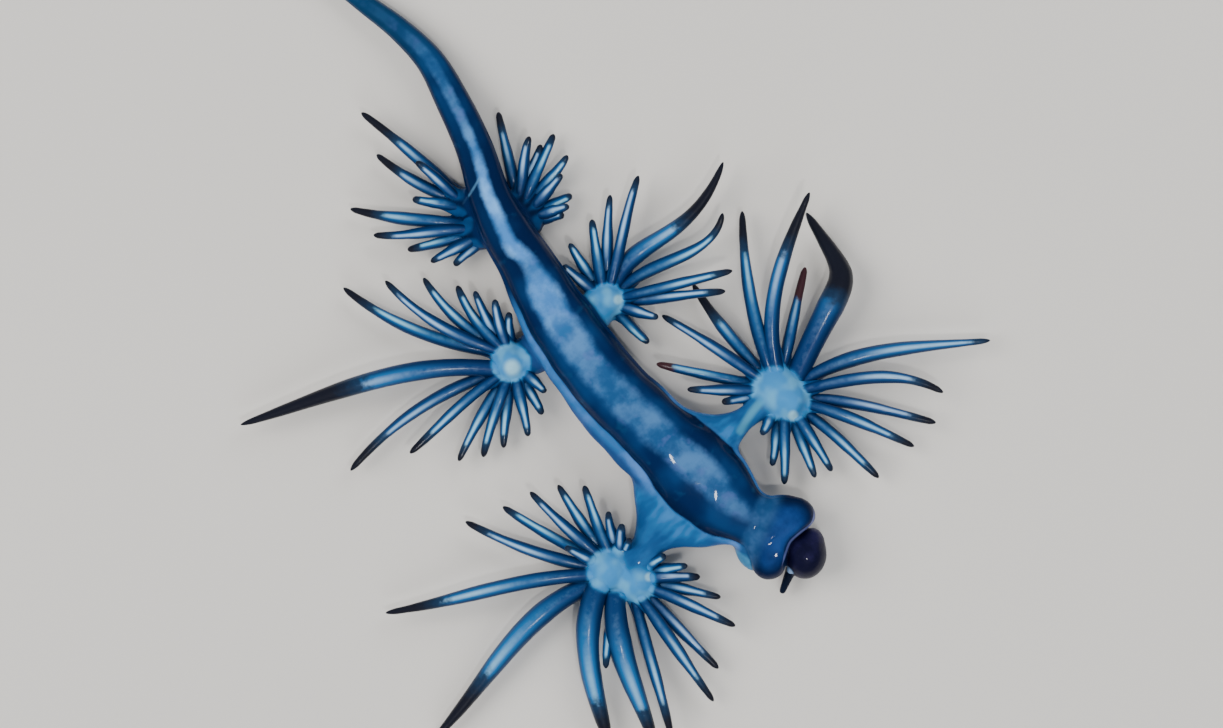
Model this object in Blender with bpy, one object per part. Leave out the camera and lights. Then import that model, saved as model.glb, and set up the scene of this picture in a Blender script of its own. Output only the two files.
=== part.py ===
"""A blue dragon sea slug at life size, lying on its back with its foot upward and its arms spread.

Sizes are in millimetres and become metres when a mesh is made. +Z is up and z = 0 is the floor. The head
faces -Y and the tail +Y. Left and right are those of the picture: left is -X. A bearing is in degrees,
counted from +X towards +Y.
"""

import math

import bmesh
import bpy
import numpy as np
from mathutils import Vector

MM = 0.001
GAP = 0.3
FLOOR = 0.0
THINNEST = 0.5

# Facets: how finely each kind of surface is divided.
BODY_SIDES = 24
BODY_STEP = 0.9
LOBE_SIDES = 14
LOBE_RINGS = 8
MOUTH_SIDES = 24
MOUTH_RINGS = 13
ARM_SIDES = 16
HEAD_SIDES = 36
HEAD_RINGS = 7
CERAS_SIDES = 6
CERAS_RINGS = (0.0, 0.18, 0.36, 0.53, 0.69, 0.84, 0.95)
FEELER_SIDES = 8
SHARP_ANGLE = 50

# The body's middle line, one station a row, from the neck to the tip of the tail:
# (place along y, place across x, half width of the foot, height of the foot, height of the back)
STATIONS = (
    (-11.0, 1.10, 1.55, 2.55, 0.80),
    (-9.7, 0.55, 1.36, 2.82, 0.50),
    (-8.4, 0.25, 1.82, 3.10, 0.10),
    (-6.6, 0.08, 2.10, 3.30, -0.15),
    (-4.5, -0.18, 1.98, 3.40, -0.20),
    (-2.0, -0.45, 1.88, 3.40, -0.20),
    (0.4, -0.45, 1.75, 3.30, -0.15),
    (3.0, -0.20, 1.60, 3.15, 0.00),
    (5.1, 0.12, 1.45, 3.00, 0.20),
    (7.3, 0.60, 1.28, 2.85, 0.40),
    (9.0, 0.85, 1.18, 2.70, 0.55),
    (10.7, 1.30, 1.03, 2.50, 0.60),
    (13.1, 2.32, 0.92, 2.15, 0.55),
    (15.7, 3.08, 0.84, 1.80, 0.40),
    (18.0, 3.55, 0.70, 1.50, 0.28),
    (20.1, 3.42, 0.58, 1.25, 0.18),
    (22.5, 2.92, 0.47, 1.02, 0.08),
    (25.2, 2.40, 0.34, 0.75, -0.04),
    (28.0, 2.30, 0.10, 0.36, -0.02),
)
# The flank swells this far beyond the foot where the body is wide, and the back sits a little to the left.
FLANK = 0.26
FLANK_SHIFT = -0.10
SLIM_HALF = 0.95
WIDE_HALF = 1.55
SLOPE_REACH = 0.3
MARGIN_HEIGHT = 0.62
FOOT_FULLNESS = 2.7
BACK_FULLNESS = 2.2

# Where the body is parted into lengths, along y, and the name of each length.
PARTINGS = (-9.7, -3.6, 3.2, 9.4, 15.4, 21.2, 28.0)
LENGTHS = ("body_front", "body_middle", "body_rear", "tail_base", "tail_middle", "tail_tip")

# The head: the edge of its two-lobed cap as places (x, y), which close on themselves, and the pale flap
# on its left side as a rounded lobe: (x, y, z), (half width, half length, half height).
HEAD_EDGE = (
    (2.28, -9.88),
    (3.15, -10.65),
    (3.36, -11.40),
    (3.00, -12.00),
    (2.10, -12.08),
    (1.45, -12.08),
    (0.90, -12.32),
    (0.40, -12.78),
    (-0.20, -12.97),
    (-0.80, -12.66),
    (-1.00, -12.05),
    (-0.74, -11.35),
    (-0.50, -10.80),
    (0.20, -10.45),
    (1.30, -10.10),
)
HEAD_MIDDLE = (1.15, -11.20)
HEAD_HEIGHTS = (0.75, 2.72)
HEAD_FULLNESS = 0.55
HEAD_POLES = (0.12, 0.92)
HEAD_CLEARANCE = 0.42
HEAD_FLAP = ((-0.74, -11.25, 1.30), (0.46, 0.80, 0.62))
MOUTH_CENTRE = (1.52, -13.02, 1.35)
MOUTH_RADII = (1.06, 1.04, 1.08)
MOUTH_BEARING = 285.0
MOUTH_TILT = -0.25
MOUTH_DENT = 0.22
MOUTH_SPREAD = (0.16, 0.38)

# The feelers: root, tip, thickness at the root. Each is cut clear of what it grows from. The profile is
# (share of the length, share of the thickness).
FEELERS = {
    "oral_tentacle_left": ((0.80, -12.95, 1.10), (-0.68, -13.72, 0.75), 0.62),
    "oral_tentacle_right": ((2.00, -12.70, 0.95), (3.12, -12.95, 0.55), 0.62),
    "rhinophore_left": ((0.30, -11.75, 1.10), (-1.15, -12.75, 0.55), 0.60),
    "rhinophore_right": ((2.25, -11.30, 1.10), (3.55, -11.75, 0.60), 0.60),
}

FEELER_PROFILE = ((0.0, 1.0), (0.5, 0.85), (0.88, 0.5))

# The two long arms: stations (x, y, half width, half height, height), from inside the body to the pad.
ARMS = {
    "arm_front_left": (
        (-0.6, -7.0, 3.00, 0.85, 1.75),
        (-2.1, -6.85, 2.55, 0.78, 1.70),
        (-2.9, -6.85, 1.85, 0.70, 1.60),
        (-3.6, -7.15, 1.15, 0.62, 1.45),
        (-4.3, -7.50, 0.85, 0.58, 1.35),
        (-5.6, -7.75, 0.80, 0.55, 1.25),
    ),
    "arm_front_right": (
        (0.6, -5.1, 1.85, 0.85, 1.80),
        (1.9, -5.4, 1.45, 0.78, 1.75),
        (2.7, -5.7, 0.95, 0.68, 1.60),
        (3.5, -5.85, 0.62, 0.58, 1.45),
        (4.4, -5.95, 0.58, 0.52, 1.35),
        (5.6, -6.10, 0.60, 0.50, 1.25),
    ),
}

ARM_RINGS = 11
ARM_FULLNESS = 0.8

# The six clusters. pad: rounded lobes (x, y), (radius across, radius along), height of the top. A cluster
# without an arm of its own has a lobe that reaches the flank. Each run of cerata is
# (how many, bearings of the tips, reaches of the tips from the pad's centre, bearings of the roots,
#  width, turns on leaving and on arriving with two handles where the bend is strong, height of the tips).
CLUSTERS = {
    "cerata_front_left": {
        "arm": "arm_front_left",
        "centre": (-6.1, -7.8),
        "rim": (1.55, 1.60),
        "pad": (((-6.45, -7.15), (1.15, 1.10), 2.05), ((-5.80, -8.45), (1.05, 1.05), 1.95)),
        "runs": (
            (3, (37, 61), (1.9, 3.3), (50, 70), 0.50, (-16, -12), 2.30),
            (4, (72, 109), (4.9, 6.9), (80, 106), 0.52, (4, -4), 1.50),
            (1, (112, 112), (3.2, 3.2), (113, 113), 0.50, (0, 0), 2.30),
            (1, (120, 120), (8.3, 8.3), (122, 122), 0.55, (8, -9), 1.00),
            (1, (148, 148), (12.0, 12.0), (138, 138), 0.75, (-10, 0), 0.90),
            (1, (180, 180), (12.5, 12.5), (154, 154), 1.10, (-25, 5), 0.80),
            (1, (225, 225), (8.6, 8.6), (146, 146), 1.25, (-25, 20), 0.70),
            (1, (219, 219), (4.7, 4.7), (206, 206), 0.50, (8, 10), 2.10),
            (1, (240, 240), (8.8, 8.8), (208, 208), 1.20, (-15, 5), 0.70),
            (1, (246, 246), (8.5, 8.5), (262, 262), 0.55, (-4, -4), 1.70),
            (2, (265, 275), (7.8, 6.7), (272, 283), 0.56, (0, 0), 0.80),
            (3, (295, 318), (6.2, 3.9), (293, 311), 0.52, (5, 0), 1.10),
            (2, (328, 344), (3.3, 2.4), (325, 338), 0.50, (6, 0), 2.20),
        ),
    },
    "cerata_front_right": {
        "arm": "arm_front_right",
        "centre": (5.9, -6.1),
        "rim": (1.50, 1.50),
        "pad": (((5.80, -6.00), (1.30, 1.35), 2.10), ((6.10, -6.75), (0.90, 0.85), 2.20)),
        "runs": (
            (1, (38, 38), (6.4, 6.4), (47, 47), 0.50, (-2, -3), 1.00),
            (1, (41, 41), (10.1, 10.1), (56, 56), 0.78, (25, -15), 2.10),
            (1, (41, 41), (9.1, 9.1), (0, 0), 1.35, (-15, 40, 0.8, 0.6), 0.90),
            (1, (61, 61), (9.3, 9.3), (77, 77), 0.62, (8, -11), 1.00),
            (1, (88, 88), (7.0, 7.0), (92, 92), 0.56, (4, -8), 0.45),
            (1, (106, 106), (7.1, 7.1), (106, 106), 0.50, (-3, 3), 0.60),
            (3, (126, 148), (6.4, 3.0), (118, 142), 0.50, (3, 0), 2.00),
            (1, (203, 203), (2.3, 2.3), (212, 212), 0.50, (-20, -20), 2.10),
            (2, (222, 231), (3.7, 4.6), (228, 242), 0.50, (-6, -7), 1.30),
            (2, (251, 262), (4.6, 4.7), (254, 265), 0.50, (0, -3), 1.00),
            (1, (278, 278), (6.5, 6.5), (276, 276), 0.52, (9, -3), 1.00),
            (2, (297, 308), (7.2, 7.9), (290, 303), 0.52, (9, -3), 1.00),
            (1, (319, 319), (8.1, 8.1), (325, 325), 0.58, (13, -31), 1.60),
            (1, (333, 333), (10.8, 10.8), (346, 346), 0.72, (19, -8), 1.00),
        ),
    },
    "cerata_middle_left": {
        "centre": (-3.3, 3.9),
        "rim": (0.95, 1.00),
        "pad": (
            ((-3.35, 3.90), (0.98, 0.98), 1.95),
            ((-2.10, 3.50), (1.20, 1.05), 1.85),
        ),
        "runs": (
            (3, (51, 76), (2.5, 4.0), (46, 70), 0.50, (8, -6), 1.80),
            (3, (84, 106), (4.7, 7.5), (74, 88), 0.50, (15, -15), 1.20),
            (1, (115, 115), (9.2, 9.2), (92, 92), 0.60, (15, -15), 0.90),
            (1, (152, 152), (13.9, 13.9), (176, 176), 0.98, (-20, 5), 0.90),
            (1, (173, 173), (9.7, 9.7), (180, 180), 0.56, (-16, 16), 0.80),
            (1, (181, 181), (6.8, 6.8), (197, 197), 0.50, (-11, 0), 1.60),
            (3, (201, 224), (5.6, 4.3), (210, 232), 0.50, (-5, 4), 1.00),
            (3, (242, 278), (3.8, 2.3), (250, 286), 0.50, (-7, -7), 1.30),
        ),
    },
    "cerata_middle_right": {
        "centre": (2.4, 3.1),
        "rim": (0.80, 0.85),
        "pad": (
            ((2.40, 3.10), (0.82, 0.86), 1.95),
            ((1.55, 2.90), (0.95, 0.80), 1.80),
        ),
        "runs": (
            (1, (9, 9), (9.0, 9.0), (18, 18), 0.90, (25, 20, 0.36, 0.55), 1.40),
            (3, (35, 60), (6.4, 4.1), (36, 76), 0.50, (-2, -5), 1.20),
            (2, (83, 101), (3.4, 2.8), (94, 112), 0.50, (-2, -5), 1.60),
            (2, (273, 300), (3.0, 2.7), (262, 286), 0.50, (6, 10), 1.20),
            (2, (323, 332), (5.9, 6.4), (308, 328), 0.50, (0, 0), 2.50),
            (1, (356, 356), (7.2, 7.2), (348, 348), 0.56, (15, 45), 2.00),
        ),
    },
    "cerata_rear_left": {
        "centre": (0.05, 10.6),
        "rim": (0.75, 1.90),
        "pad": (((-0.30, 9.90), (0.75, 0.95), 1.45), ((0.35, 11.20), (0.75, 0.95), 1.45)),
        "runs": (
            (1, (96, 96), (7.7, 7.7), (62, 62), 0.55, (1, 6), 0.90),
            (1, (95, 95), (4.0, 4.0), (84, 84), 0.50, (3, 8), 1.40),
            (1, (106, 106), (5.8, 5.8), (104, 104), 0.50, (10, -8), 0.70),
            (1, (122, 122), (3.2, 3.2), (128, 128), 0.50, (0, 0), 1.50),
            (1, (135, 135), (6.2, 6.2), (182, 182), 0.60, (-2, -11), 0.90),
            (2, (149, 165), (5.1, 3.7), (198, 214), 0.50, (-10, -14), 0.90),
            (2, (185, 207), (3.1, 2.6), (228, 244), 0.50, (-16, -16), 0.90),
        ),
    },
    "cerata_rear_right": {
        "centre": (2.2, 9.2),
        "rim": (0.60, 1.25),
        "pad": (((2.00, 9.20), (0.80, 1.35), 1.40),),
        "runs": (
            (1, (64, 64), (5.1, 5.1), (74, 74), 0.50, (-6, -4), 0.90),
            (1, (45, 45), (3.7, 3.7), (62, 62), 0.50, (-13, -15), 1.40),
            (2, (35, 28), (3.4, 4.1), (46, 28), 0.50, (0, -2), 0.90),
            (2, (11, 3), (3.5, 2.6), (8, -14), 0.50, (4, 8), 1.20),
            (3, (337, 312), (2.5, 2.0), (328, 290), 0.50, (10, 10), 0.90),
        ),
    },
}
LOBE_HALF_HEIGHT = 0.56
# A root lies at this share of the rim's distance, in two rows at these shares of the pad's height.
ROOT_DEPTH = 0.62
ROOT_SHARES = (0.45, 0.66)
HEIGHT_SPREAD = 0.18
SEED = 7
CERAS_FLATNESS = 0.82
CERAS_HANDLES = (0.36, 0.36)
CERAS_RISE = 0.16
CERAS_DROOP = 0.5
# A ceras's width along it, as (share of its length, share of its width).
CERAS_TAPER = ((0.0, 0.85), (0.3, 1.0), (0.6, 0.88), (0.85, 0.6), (1.0, 0.16))
# Thin cerata spread into a fan at the root: this wide there, and no wider beyond this share of the length.
ROOT_WIDTH = 0.82
ROOT_SPREAD = 0.6
TIP_SHARE = 0.6
STEP = 0.01

COLOURS = {
    "foot": (0.02, 0.09, 0.28),
    "arm": (0.12, 0.32, 0.58),
    "head": (0.02, 0.07, 0.24),
    "mouth": (0.01, 0.01, 0.05),
    "cerata": (0.04, 0.20, 0.40),
}
SKIN_ROUGHNESS = 0.3


def clear_scene():
    """Removes every object that the scene starts with."""
    for old in list(bpy.data.objects):
        bpy.data.objects.remove(old, do_unlink=True)


def make_material(name):
    """A plain wet skin in one colour."""
    material = bpy.data.materials.new(name)
    material.use_nodes = True
    shader = material.node_tree.nodes["Principled BSDF"]
    shader.inputs["Base Color"].default_value = (*COLOURS[name], 1.0)
    shader.inputs["Roughness"].default_value = SKIN_ROUGHNESS
    shader.inputs["Metallic"].default_value = 0.0
    return material


def smooth_line(stations, at):
    """Every column of stations, read at the places in at along the first one, on one smooth curve.

    Each stretch is a cubic whose slope at a station is that of the chord between its two neighbours.
    """
    rows = np.asarray(stations, float)
    places = rows[:, 0]
    slopes = np.gradient(rows, places, axis=0)
    at = np.clip(np.asarray(at, float), places[0], places[-1])
    low = np.clip(np.searchsorted(places, at, side="right") - 1, 0, len(places) - 2)
    span = (places[low + 1] - places[low])[:, None]
    t = ((at - places[low])[:, None]) / span
    first = rows[low] * (2 * t**3 - 3 * t**2 + 1) + slopes[low] * span * (t**3 - 2 * t**2 + t)
    second = rows[low + 1] * (3 * t**2 - 2 * t**3) + slopes[low + 1] * span * (t**3 - t**2)
    return first + second


def mesh_object(name, points, faces, material=None):
    """A closed mesh object from points in millimetres, with its faces turned outward."""
    mesh = bpy.data.meshes.new(name)
    mesh.from_pydata([tuple(p) for p in np.asarray(points) * MM], [], faces)
    made = bmesh.new()
    made.from_mesh(mesh)
    bmesh.ops.recalc_face_normals(made, faces=made.faces)
    bmesh.ops.triangulate(made, faces=made.faces)
    made.to_mesh(mesh)
    made.free()
    placed = bpy.data.objects.new(name, mesh)
    bpy.context.scene.collection.objects.link(placed)
    if material:
        mesh.materials.append(material)
    return placed


def skin_rings(name, rings, material=None, tip=None):
    """A closed tube through rings of equally many points, with flat ends or with one end drawn to a tip."""
    count = len(rings)
    sides = len(rings[0])
    points = np.concatenate(rings)
    faces = []
    for ring in range(count - 1):
        for side in range(sides):
            after = (side + 1) % sides
            low, high = ring * sides, (ring + 1) * sides
            faces.append((low + side, low + after, high + after, high + side))
    faces.append(tuple(range(sides))[::-1])
    last = (count - 1) * sides
    if tip is None:
        faces.append(tuple(last + side for side in range(sides)))
    else:
        points = np.concatenate([points, [tip]])
        faces += [(last + side, last + (side + 1) % sides, len(points) - 1) for side in range(sides)]
    return mesh_object(name, points, faces, material)


def body_section(place, grow):
    """One ring round the body at a place along y, square to the middle line.

    The foot above its margin is a low, full arch, and the back below it is a deep, rounder one. Grow swells
    the ring on every side, and only a ring that doesn't grow is laid flat on the floor.
    """
    _, x, half, top, bottom = smooth_line(STATIONS, [place])[0]
    before, after = smooth_line(STATIONS, [place - SLOPE_REACH, place + SLOPE_REACH])[:, :2]
    along, sideways = after - before
    across = np.array([along, -sideways]) / math.hypot(along, sideways)
    angle = np.arange(BODY_SIDES) * 2 * math.pi / BODY_SIDES
    stout = min(1.0, max(0.0, (half - SLIM_HALF) / (WIDE_HALF - SLIM_HALF)))
    wide = half + FLANK * stout + grow
    margin = bottom + MARGIN_HEIGHT * (top - bottom)
    full = np.where(np.sin(angle) > 0, FOOT_FULLNESS, BACK_FULLNESS)
    out = np.sign(np.cos(angle)) * np.abs(np.cos(angle)) ** (2 / full) * wide
    up = np.abs(np.sin(angle)) ** (2 / full)
    rise = np.where(np.sin(angle) > 0, top - margin + grow, -(margin - bottom + grow))
    height = margin + up * rise
    if grow == 0:
        height = np.maximum(height, FLOOR)
    out = out + FLANK_SHIFT * stout
    ring = np.empty((BODY_SIDES, 3))
    ring[:, 0] = x + across[0] * out
    ring[:, 1] = place + across[1] * out
    ring[:, 2] = height
    return ring


def body_length(name, start, end, material, grow=0.0):
    """One length of the body between two places along y."""
    steps = max(3, round((end - start) / BODY_STEP) + 1)
    return skin_rings(name, [body_section(place, grow) for place in np.linspace(start, end, steps)], material)


def rounded(name, centre, radii, grow=0.0, material=None, facets=(LOBE_SIDES, LOBE_RINGS)):
    """A rounded lobe: a ball stretched to three radii, and laid flat on the floor unless it is swollen."""
    sides, rings = facets
    angle = np.arange(sides) * 2 * math.pi / sides
    ball = []
    for polar in np.linspace(0, math.pi, rings)[1:-1]:
        around = np.stack([np.cos(angle), np.sin(angle)], axis=1) * math.sin(polar)
        ball.append(np.column_stack([around, np.full(sides, math.cos(polar))]))
    poles = [[0, 0, 1], [0, 0, -1]]
    points = np.concatenate([*ball, poles]) * (np.asarray(radii) + grow) + np.asarray(centre)
    if grow == 0:
        points[:, 2] = np.maximum(points[:, 2], FLOOR)
    last = (len(ball) - 1) * sides
    top, low = len(points) - 2, len(points) - 1
    faces = []
    for side in range(sides):
        after = (side + 1) % sides
        faces.append((top, side, after))
        for ring in range(len(ball) - 1):
            a, b = ring * sides, (ring + 1) * sides
            faces.append((a + side, b + side, b + after, a + after))
        faces.append((last + after, last + side, low))
    return mesh_object(name, points, faces, material)


def pad_lobes(cluster, grow=0.0):
    """The rounded lobes of a cluster's pad, standing on the floor with their tops at the heights given."""
    lobes = []
    for index, (place, radii, top) in enumerate(cluster["pad"]):
        half = LOBE_HALF_HEIGHT * top
        centre = (*place, top - half)
        lobes.append(rounded(f"lobe{index}", centre, (*radii, half), grow=grow))
    return lobes


def keep_largest(obj):
    """Keeps the largest of an object's separate closed surfaces and drops the rest."""
    made = bmesh.new()
    made.from_mesh(obj.data)
    left = set(made.faces)
    groups = []
    while left:
        stack = [left.pop()]
        group = list(stack)
        while stack:
            for edge in stack.pop().edges:
                for face in edge.link_faces:
                    if face in left:
                        left.remove(face)
                        stack.append(face)
                        group.append(face)
        groups.append(group)
    groups.sort(key=lambda group: sum(face.calc_area() for face in group))
    dropped = [face for group in groups[:-1] for face in group]
    bmesh.ops.delete(made, geom=dropped, context="FACES")
    loose = [vert for vert in made.verts if not vert.link_faces]
    bmesh.ops.delete(made, geom=loose, context="VERTS")
    made.to_mesh(obj.data)
    made.free()


def fuse(obj, others, operation="UNION"):
    """Joins other closed meshes to an object, or cuts them out of it, and removes them."""
    group = bpy.data.collections.new(f"{obj.name}_pieces")
    bpy.context.scene.collection.children.link(group)
    for other in others:
        bpy.context.scene.collection.objects.unlink(other)
        group.objects.link(other)
    modifier = obj.modifiers.new("Join", "BOOLEAN")
    modifier.operation = operation
    modifier.operand_type = "COLLECTION"
    modifier.collection = group
    modifier.solver = "EXACT"
    bpy.context.view_layer.update()
    joined = bpy.data.meshes.new_from_object(obj.evaluated_get(bpy.context.evaluated_depsgraph_get()))
    obj.modifiers.clear()
    old = obj.data
    obj.data = joined
    bpy.data.meshes.remove(old)
    for other in others:
        bpy.data.objects.remove(other, do_unlink=True)
    bpy.data.collections.remove(group)
    keep_largest(obj)
    return obj


def on_bearing(bearing, reach):
    """A step of a reach along a bearing, as x and y."""
    turn = math.radians(bearing)
    return np.array([math.cos(turn), math.sin(turn)]) * reach


def ceras_line(cluster, tip_bearing, reach, root_bearing, turns, tip_height, root_height, at):
    """Points along one ceras: a cubic that leaves the pad's rim and arrives at the tip on the turns given."""
    centre = np.array(cluster["centre"])
    rim = on_bearing(root_bearing, ROOT_DEPTH) * np.array(cluster["rim"])
    root = np.array([*(centre + rim), root_height])
    tip = np.array([*(centre + on_bearing(tip_bearing, reach)), tip_height])
    chord = math.dist(root, tip)
    out, back, *handles = turns
    handles = np.array(handles or CERAS_HANDLES) * chord
    leave = on_bearing(tip_bearing + out, handles[0])
    arrive = on_bearing(tip_bearing + back, handles[1])
    first = root + np.array([*leave, CERAS_RISE * handles[0]])
    second = tip - np.array([*arrive, CERAS_DROOP * (tip_height - root_height)])
    at = np.asarray(at)[:, None]
    return (
        root * (1 - at) ** 3 + 3 * first * at * (1 - at) ** 2 + 3 * second * at**2 * (1 - at) + tip * at**3
    )


def ceras(name, cluster, tip_bearing, reach, root_bearing, width, turns, tip_height, root_height, grow):
    """One ceras: a flattened tube along its line, which tapers to a point. Grow swells it on every side."""
    at = np.array([*CERAS_RINGS, 1.0])
    line = ceras_line(cluster, tip_bearing, reach, root_bearing, turns, tip_height, root_height, at)
    ahead = ceras_line(cluster, tip_bearing, reach, root_bearing, turns, tip_height, root_height, at + STEP)
    run = ahead - line
    run /= np.linalg.norm(run, axis=1)[:, None]
    side = np.cross(run, [0.0, 0.0, 1.0])
    side /= np.linalg.norm(side, axis=1)[:, None]
    over = np.cross(side, run)
    share = np.interp(at, *zip(*CERAS_TAPER))
    least = THINNEST * np.minimum(1.0, share / TIP_SHARE)
    spread = ROOT_WIDTH * (1 - at / ROOT_SPREAD)
    wide = np.maximum.reduce([width * share, least, spread]) / 2 + grow
    deep = np.maximum(width * share * CERAS_FLATNESS, least) / 2 + grow
    angle = (np.arange(CERAS_SIDES) + 0.5) * 2 * math.pi / CERAS_SIDES
    rings = []
    for index in range(len(at) - 1):
        ring = line[index] + np.outer(np.cos(angle) * wide[index], side[index])
        ring = ring + np.outer(np.sin(angle) * deep[index], over[index])
        rings.append(ring)
    return skin_rings(name, rings, tip=line[-1] + grow * run[-1])


def cerata_of(cluster, grow=0.0):
    """Every ceras of a cluster, run by run: the roots in two rows, and the tips a little up and down."""
    chance = np.random.default_rng(SEED)
    rows = [share * cluster["pad"][0][2] for share in ROOT_SHARES]
    made = []
    for count, bearings, reaches, roots, width, turns, tip_height in cluster["runs"]:
        for index in range(count):
            share = index / max(1, count - 1)
            bearing = bearings[0] + share * (bearings[1] - bearings[0])
            reach = reaches[0] + share * (reaches[1] - reaches[0])
            root = roots[0] + share * (roots[1] - roots[0])
            lifted = tip_height * (1 + HEIGHT_SPREAD * chance.uniform(-1, 1))
            place = (bearing, reach, root, width, turns, lifted, rows[len(made) % 2])
            made.append(ceras(f"ceras{len(made)}", cluster, *place, grow))
    return made


def build_body(material):
    """The lengths of the body and tail, each a gap short of the next."""
    made = []
    for name, start, end in zip(LENGTHS, PARTINGS, PARTINGS[1:]):
        made.append(body_length(name, start + GAP / 2, end - GAP / 2, material))
    return made


def body_cutter():
    """The whole body swollen by the gap, to cut what meets it clear."""
    return body_length("body_room", PARTINGS[0] - GAP / 2, PARTINGS[-1] - GAP, None, grow=GAP)


def closed_curve(places, count):
    """Evenly counted points on one smooth closed curve through the places: a cubic for each stretch."""
    rows = np.asarray(places, float)
    at = np.arange(count) * len(rows) / count
    low = at.astype(int)
    t = (at - low)[:, None]
    a, b, c, d = (rows[(low + step) % len(rows)] for step in (-1, 0, 1, 2))
    return 0.5 * (2 * b + (c - a) * t + (2 * a - 5 * b + 4 * c - d) * t**2 + (3 * b - a - 3 * c + d) * t**3)


def head_cap(name, grow=0.0):
    """The two-lobed cap: its edge drawn in over and under towards the middle, like a full cushion."""
    edge = closed_curve(HEAD_EDGE, HEAD_SIDES) - HEAD_MIDDLE
    edge *= 1 + grow / np.linalg.norm(edge, axis=1)[:, None]
    low, high = HEAD_HEIGHTS
    rings = []
    for polar in np.linspace(*HEAD_POLES, HEAD_RINGS) * math.pi:
        ring = np.empty((HEAD_SIDES, 3))
        ring[:, :2] = HEAD_MIDDLE + edge * math.sin(polar) ** HEAD_FULLNESS
        ring[:, 2] = (low + high) / 2 - ((high - low) / 2 + grow) * math.cos(polar)
        rings.append(ring)
    return skin_rings(name, rings)


def head_room():
    """The head and the neck behind it, swollen by the gap, and the cap's sloping sides by a little more."""
    flap = rounded("flap_room", *HEAD_FLAP, grow=GAP)
    neck = body_length("neck_room", STATIONS[0][0], PARTINGS[0], None, grow=GAP)
    return [head_cap("cap_room", HEAD_CLEARANCE), flap, neck]


def build_head(material, dark):
    """The head with its cap, neck and flap, the mouth's bulb in front of it, and the four feelers."""
    head = head_cap("head")
    head.data.materials.append(material)
    neck = body_length("neck", STATIONS[0][0], PARTINGS[0] - GAP / 2, None)
    fuse(head, [neck, rounded("flap", *HEAD_FLAP)])
    mouth = rounded("mouth", MOUTH_CENTRE, MOUTH_RADII, material=dark, facets=(MOUTH_SIDES, MOUTH_RINGS))
    open_mouth(mouth)
    fuse(mouth, head_room(), "DIFFERENCE")
    made = [head, mouth]
    for name, (root, tip, width) in FEELERS.items():
        feeler = cone(name, root, tip, width, dark)
        mouth_room = rounded("mouth_room", MOUTH_CENTRE, MOUTH_RADII, grow=GAP)
        fuse(feeler, [*head_room(), mouth_room], "DIFFERENCE")
        made.append(feeler)
    return made


def open_mouth(mouth):
    """Sinks the line of the mouth into the front of its bulb, between two lips."""
    front = np.array([*on_bearing(MOUTH_BEARING, 1.0), MOUTH_TILT])
    front /= np.linalg.norm(front)
    side = np.cross(front, [0.0, 0.0, 1.0])
    side /= np.linalg.norm(side)
    over = np.cross(side, front)
    for vertex in mouth.data.vertices:
        out = np.array(vertex.co) / MM - MOUTH_CENTRE
        out = out / np.linalg.norm(out)
        away = (out @ side / MOUTH_SPREAD[1]) ** 2 + (out @ over / MOUTH_SPREAD[0]) ** 2
        if out @ front > 0:
            vertex.co -= Vector(out * MOUTH_DENT * math.exp(-away) * MM)


def cone(name, root, tip, width, material):
    """A feeler: a short round taper with a blunt point."""
    root, tip = np.array(root), np.array(tip)
    run = (tip - root) / math.dist(root, tip)
    side = np.cross(run, [0.0, 0.0, 1.0])
    side /= np.linalg.norm(side)
    over = np.cross(side, run)
    angle = np.arange(FEELER_SIDES) * 2 * math.pi / FEELER_SIDES
    rings = []
    for share, thick in FEELER_PROFILE:
        middle = root + share * (tip - root)
        ring = middle + np.outer(np.cos(angle), side) * width / 2 * thick
        rings.append(ring + np.outer(np.sin(angle), over) * width / 2 * thick)
    return skin_rings(name, rings, material, tip=tip)


def build_arm(name, cluster, material):
    """A long arm: a web that narrows from the flank to the pad, cut clear of both."""
    rows = [(index, *row) for index, row in enumerate(ARMS[name])]
    line = smooth_line(rows, np.linspace(0, len(rows) - 1, ARM_RINGS))
    angle = np.arange(ARM_SIDES) * 2 * math.pi / ARM_SIDES
    rings = []
    for _, x, y, half, thick, height in line:
        ring = np.empty((ARM_SIDES, 3))
        ring[:, 0] = x
        ring[:, 1] = y + half * np.cos(angle)
        ring[:, 2] = height + thick * np.sign(np.sin(angle)) * np.abs(np.sin(angle)) ** ARM_FULLNESS
        rings.append(ring)
    arm = skin_rings(name, rings, material)
    fuse(arm, [body_cutter(), *head_room()], "DIFFERENCE")
    fuse(arm, pad_lobes(cluster, GAP) + cerata_of(cluster, GAP), "DIFFERENCE")
    return arm


def build_cluster(name, cluster, material):
    """A pad and its cerata as one closed body, cut clear of the flank unless an arm carries it."""
    lobes = pad_lobes(cluster)
    pad = lobes[0]
    pad.name = name
    pad.data.materials.append(material)
    fuse(pad, lobes[1:] + cerata_of(cluster))
    if "arm" not in cluster:
        fuse(pad, [body_cutter()], "DIFFERENCE")
    return pad


def stand_on_origin(objects):
    """Moves every mesh so that the origin is at the middle of the whole, seen from above, on the floor."""
    corners = np.array([vertex.co for obj in objects for vertex in obj.data.vertices])
    low, high = corners.min(axis=0), corners.max(axis=0)
    shift = -np.array([(low[0] + high[0]) / 2, (low[1] + high[1]) / 2, low[2]])
    for obj in objects:
        for vertex in obj.data.vertices:
            vertex.co += Vector(shift)
        obj.data.polygons.foreach_set("use_smooth", [True] * len(obj.data.polygons))
        obj.data.set_sharp_from_angle(angle=math.radians(SHARP_ANGLE))
    print("moved by", np.round(shift / MM, 3), "mm")


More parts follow.
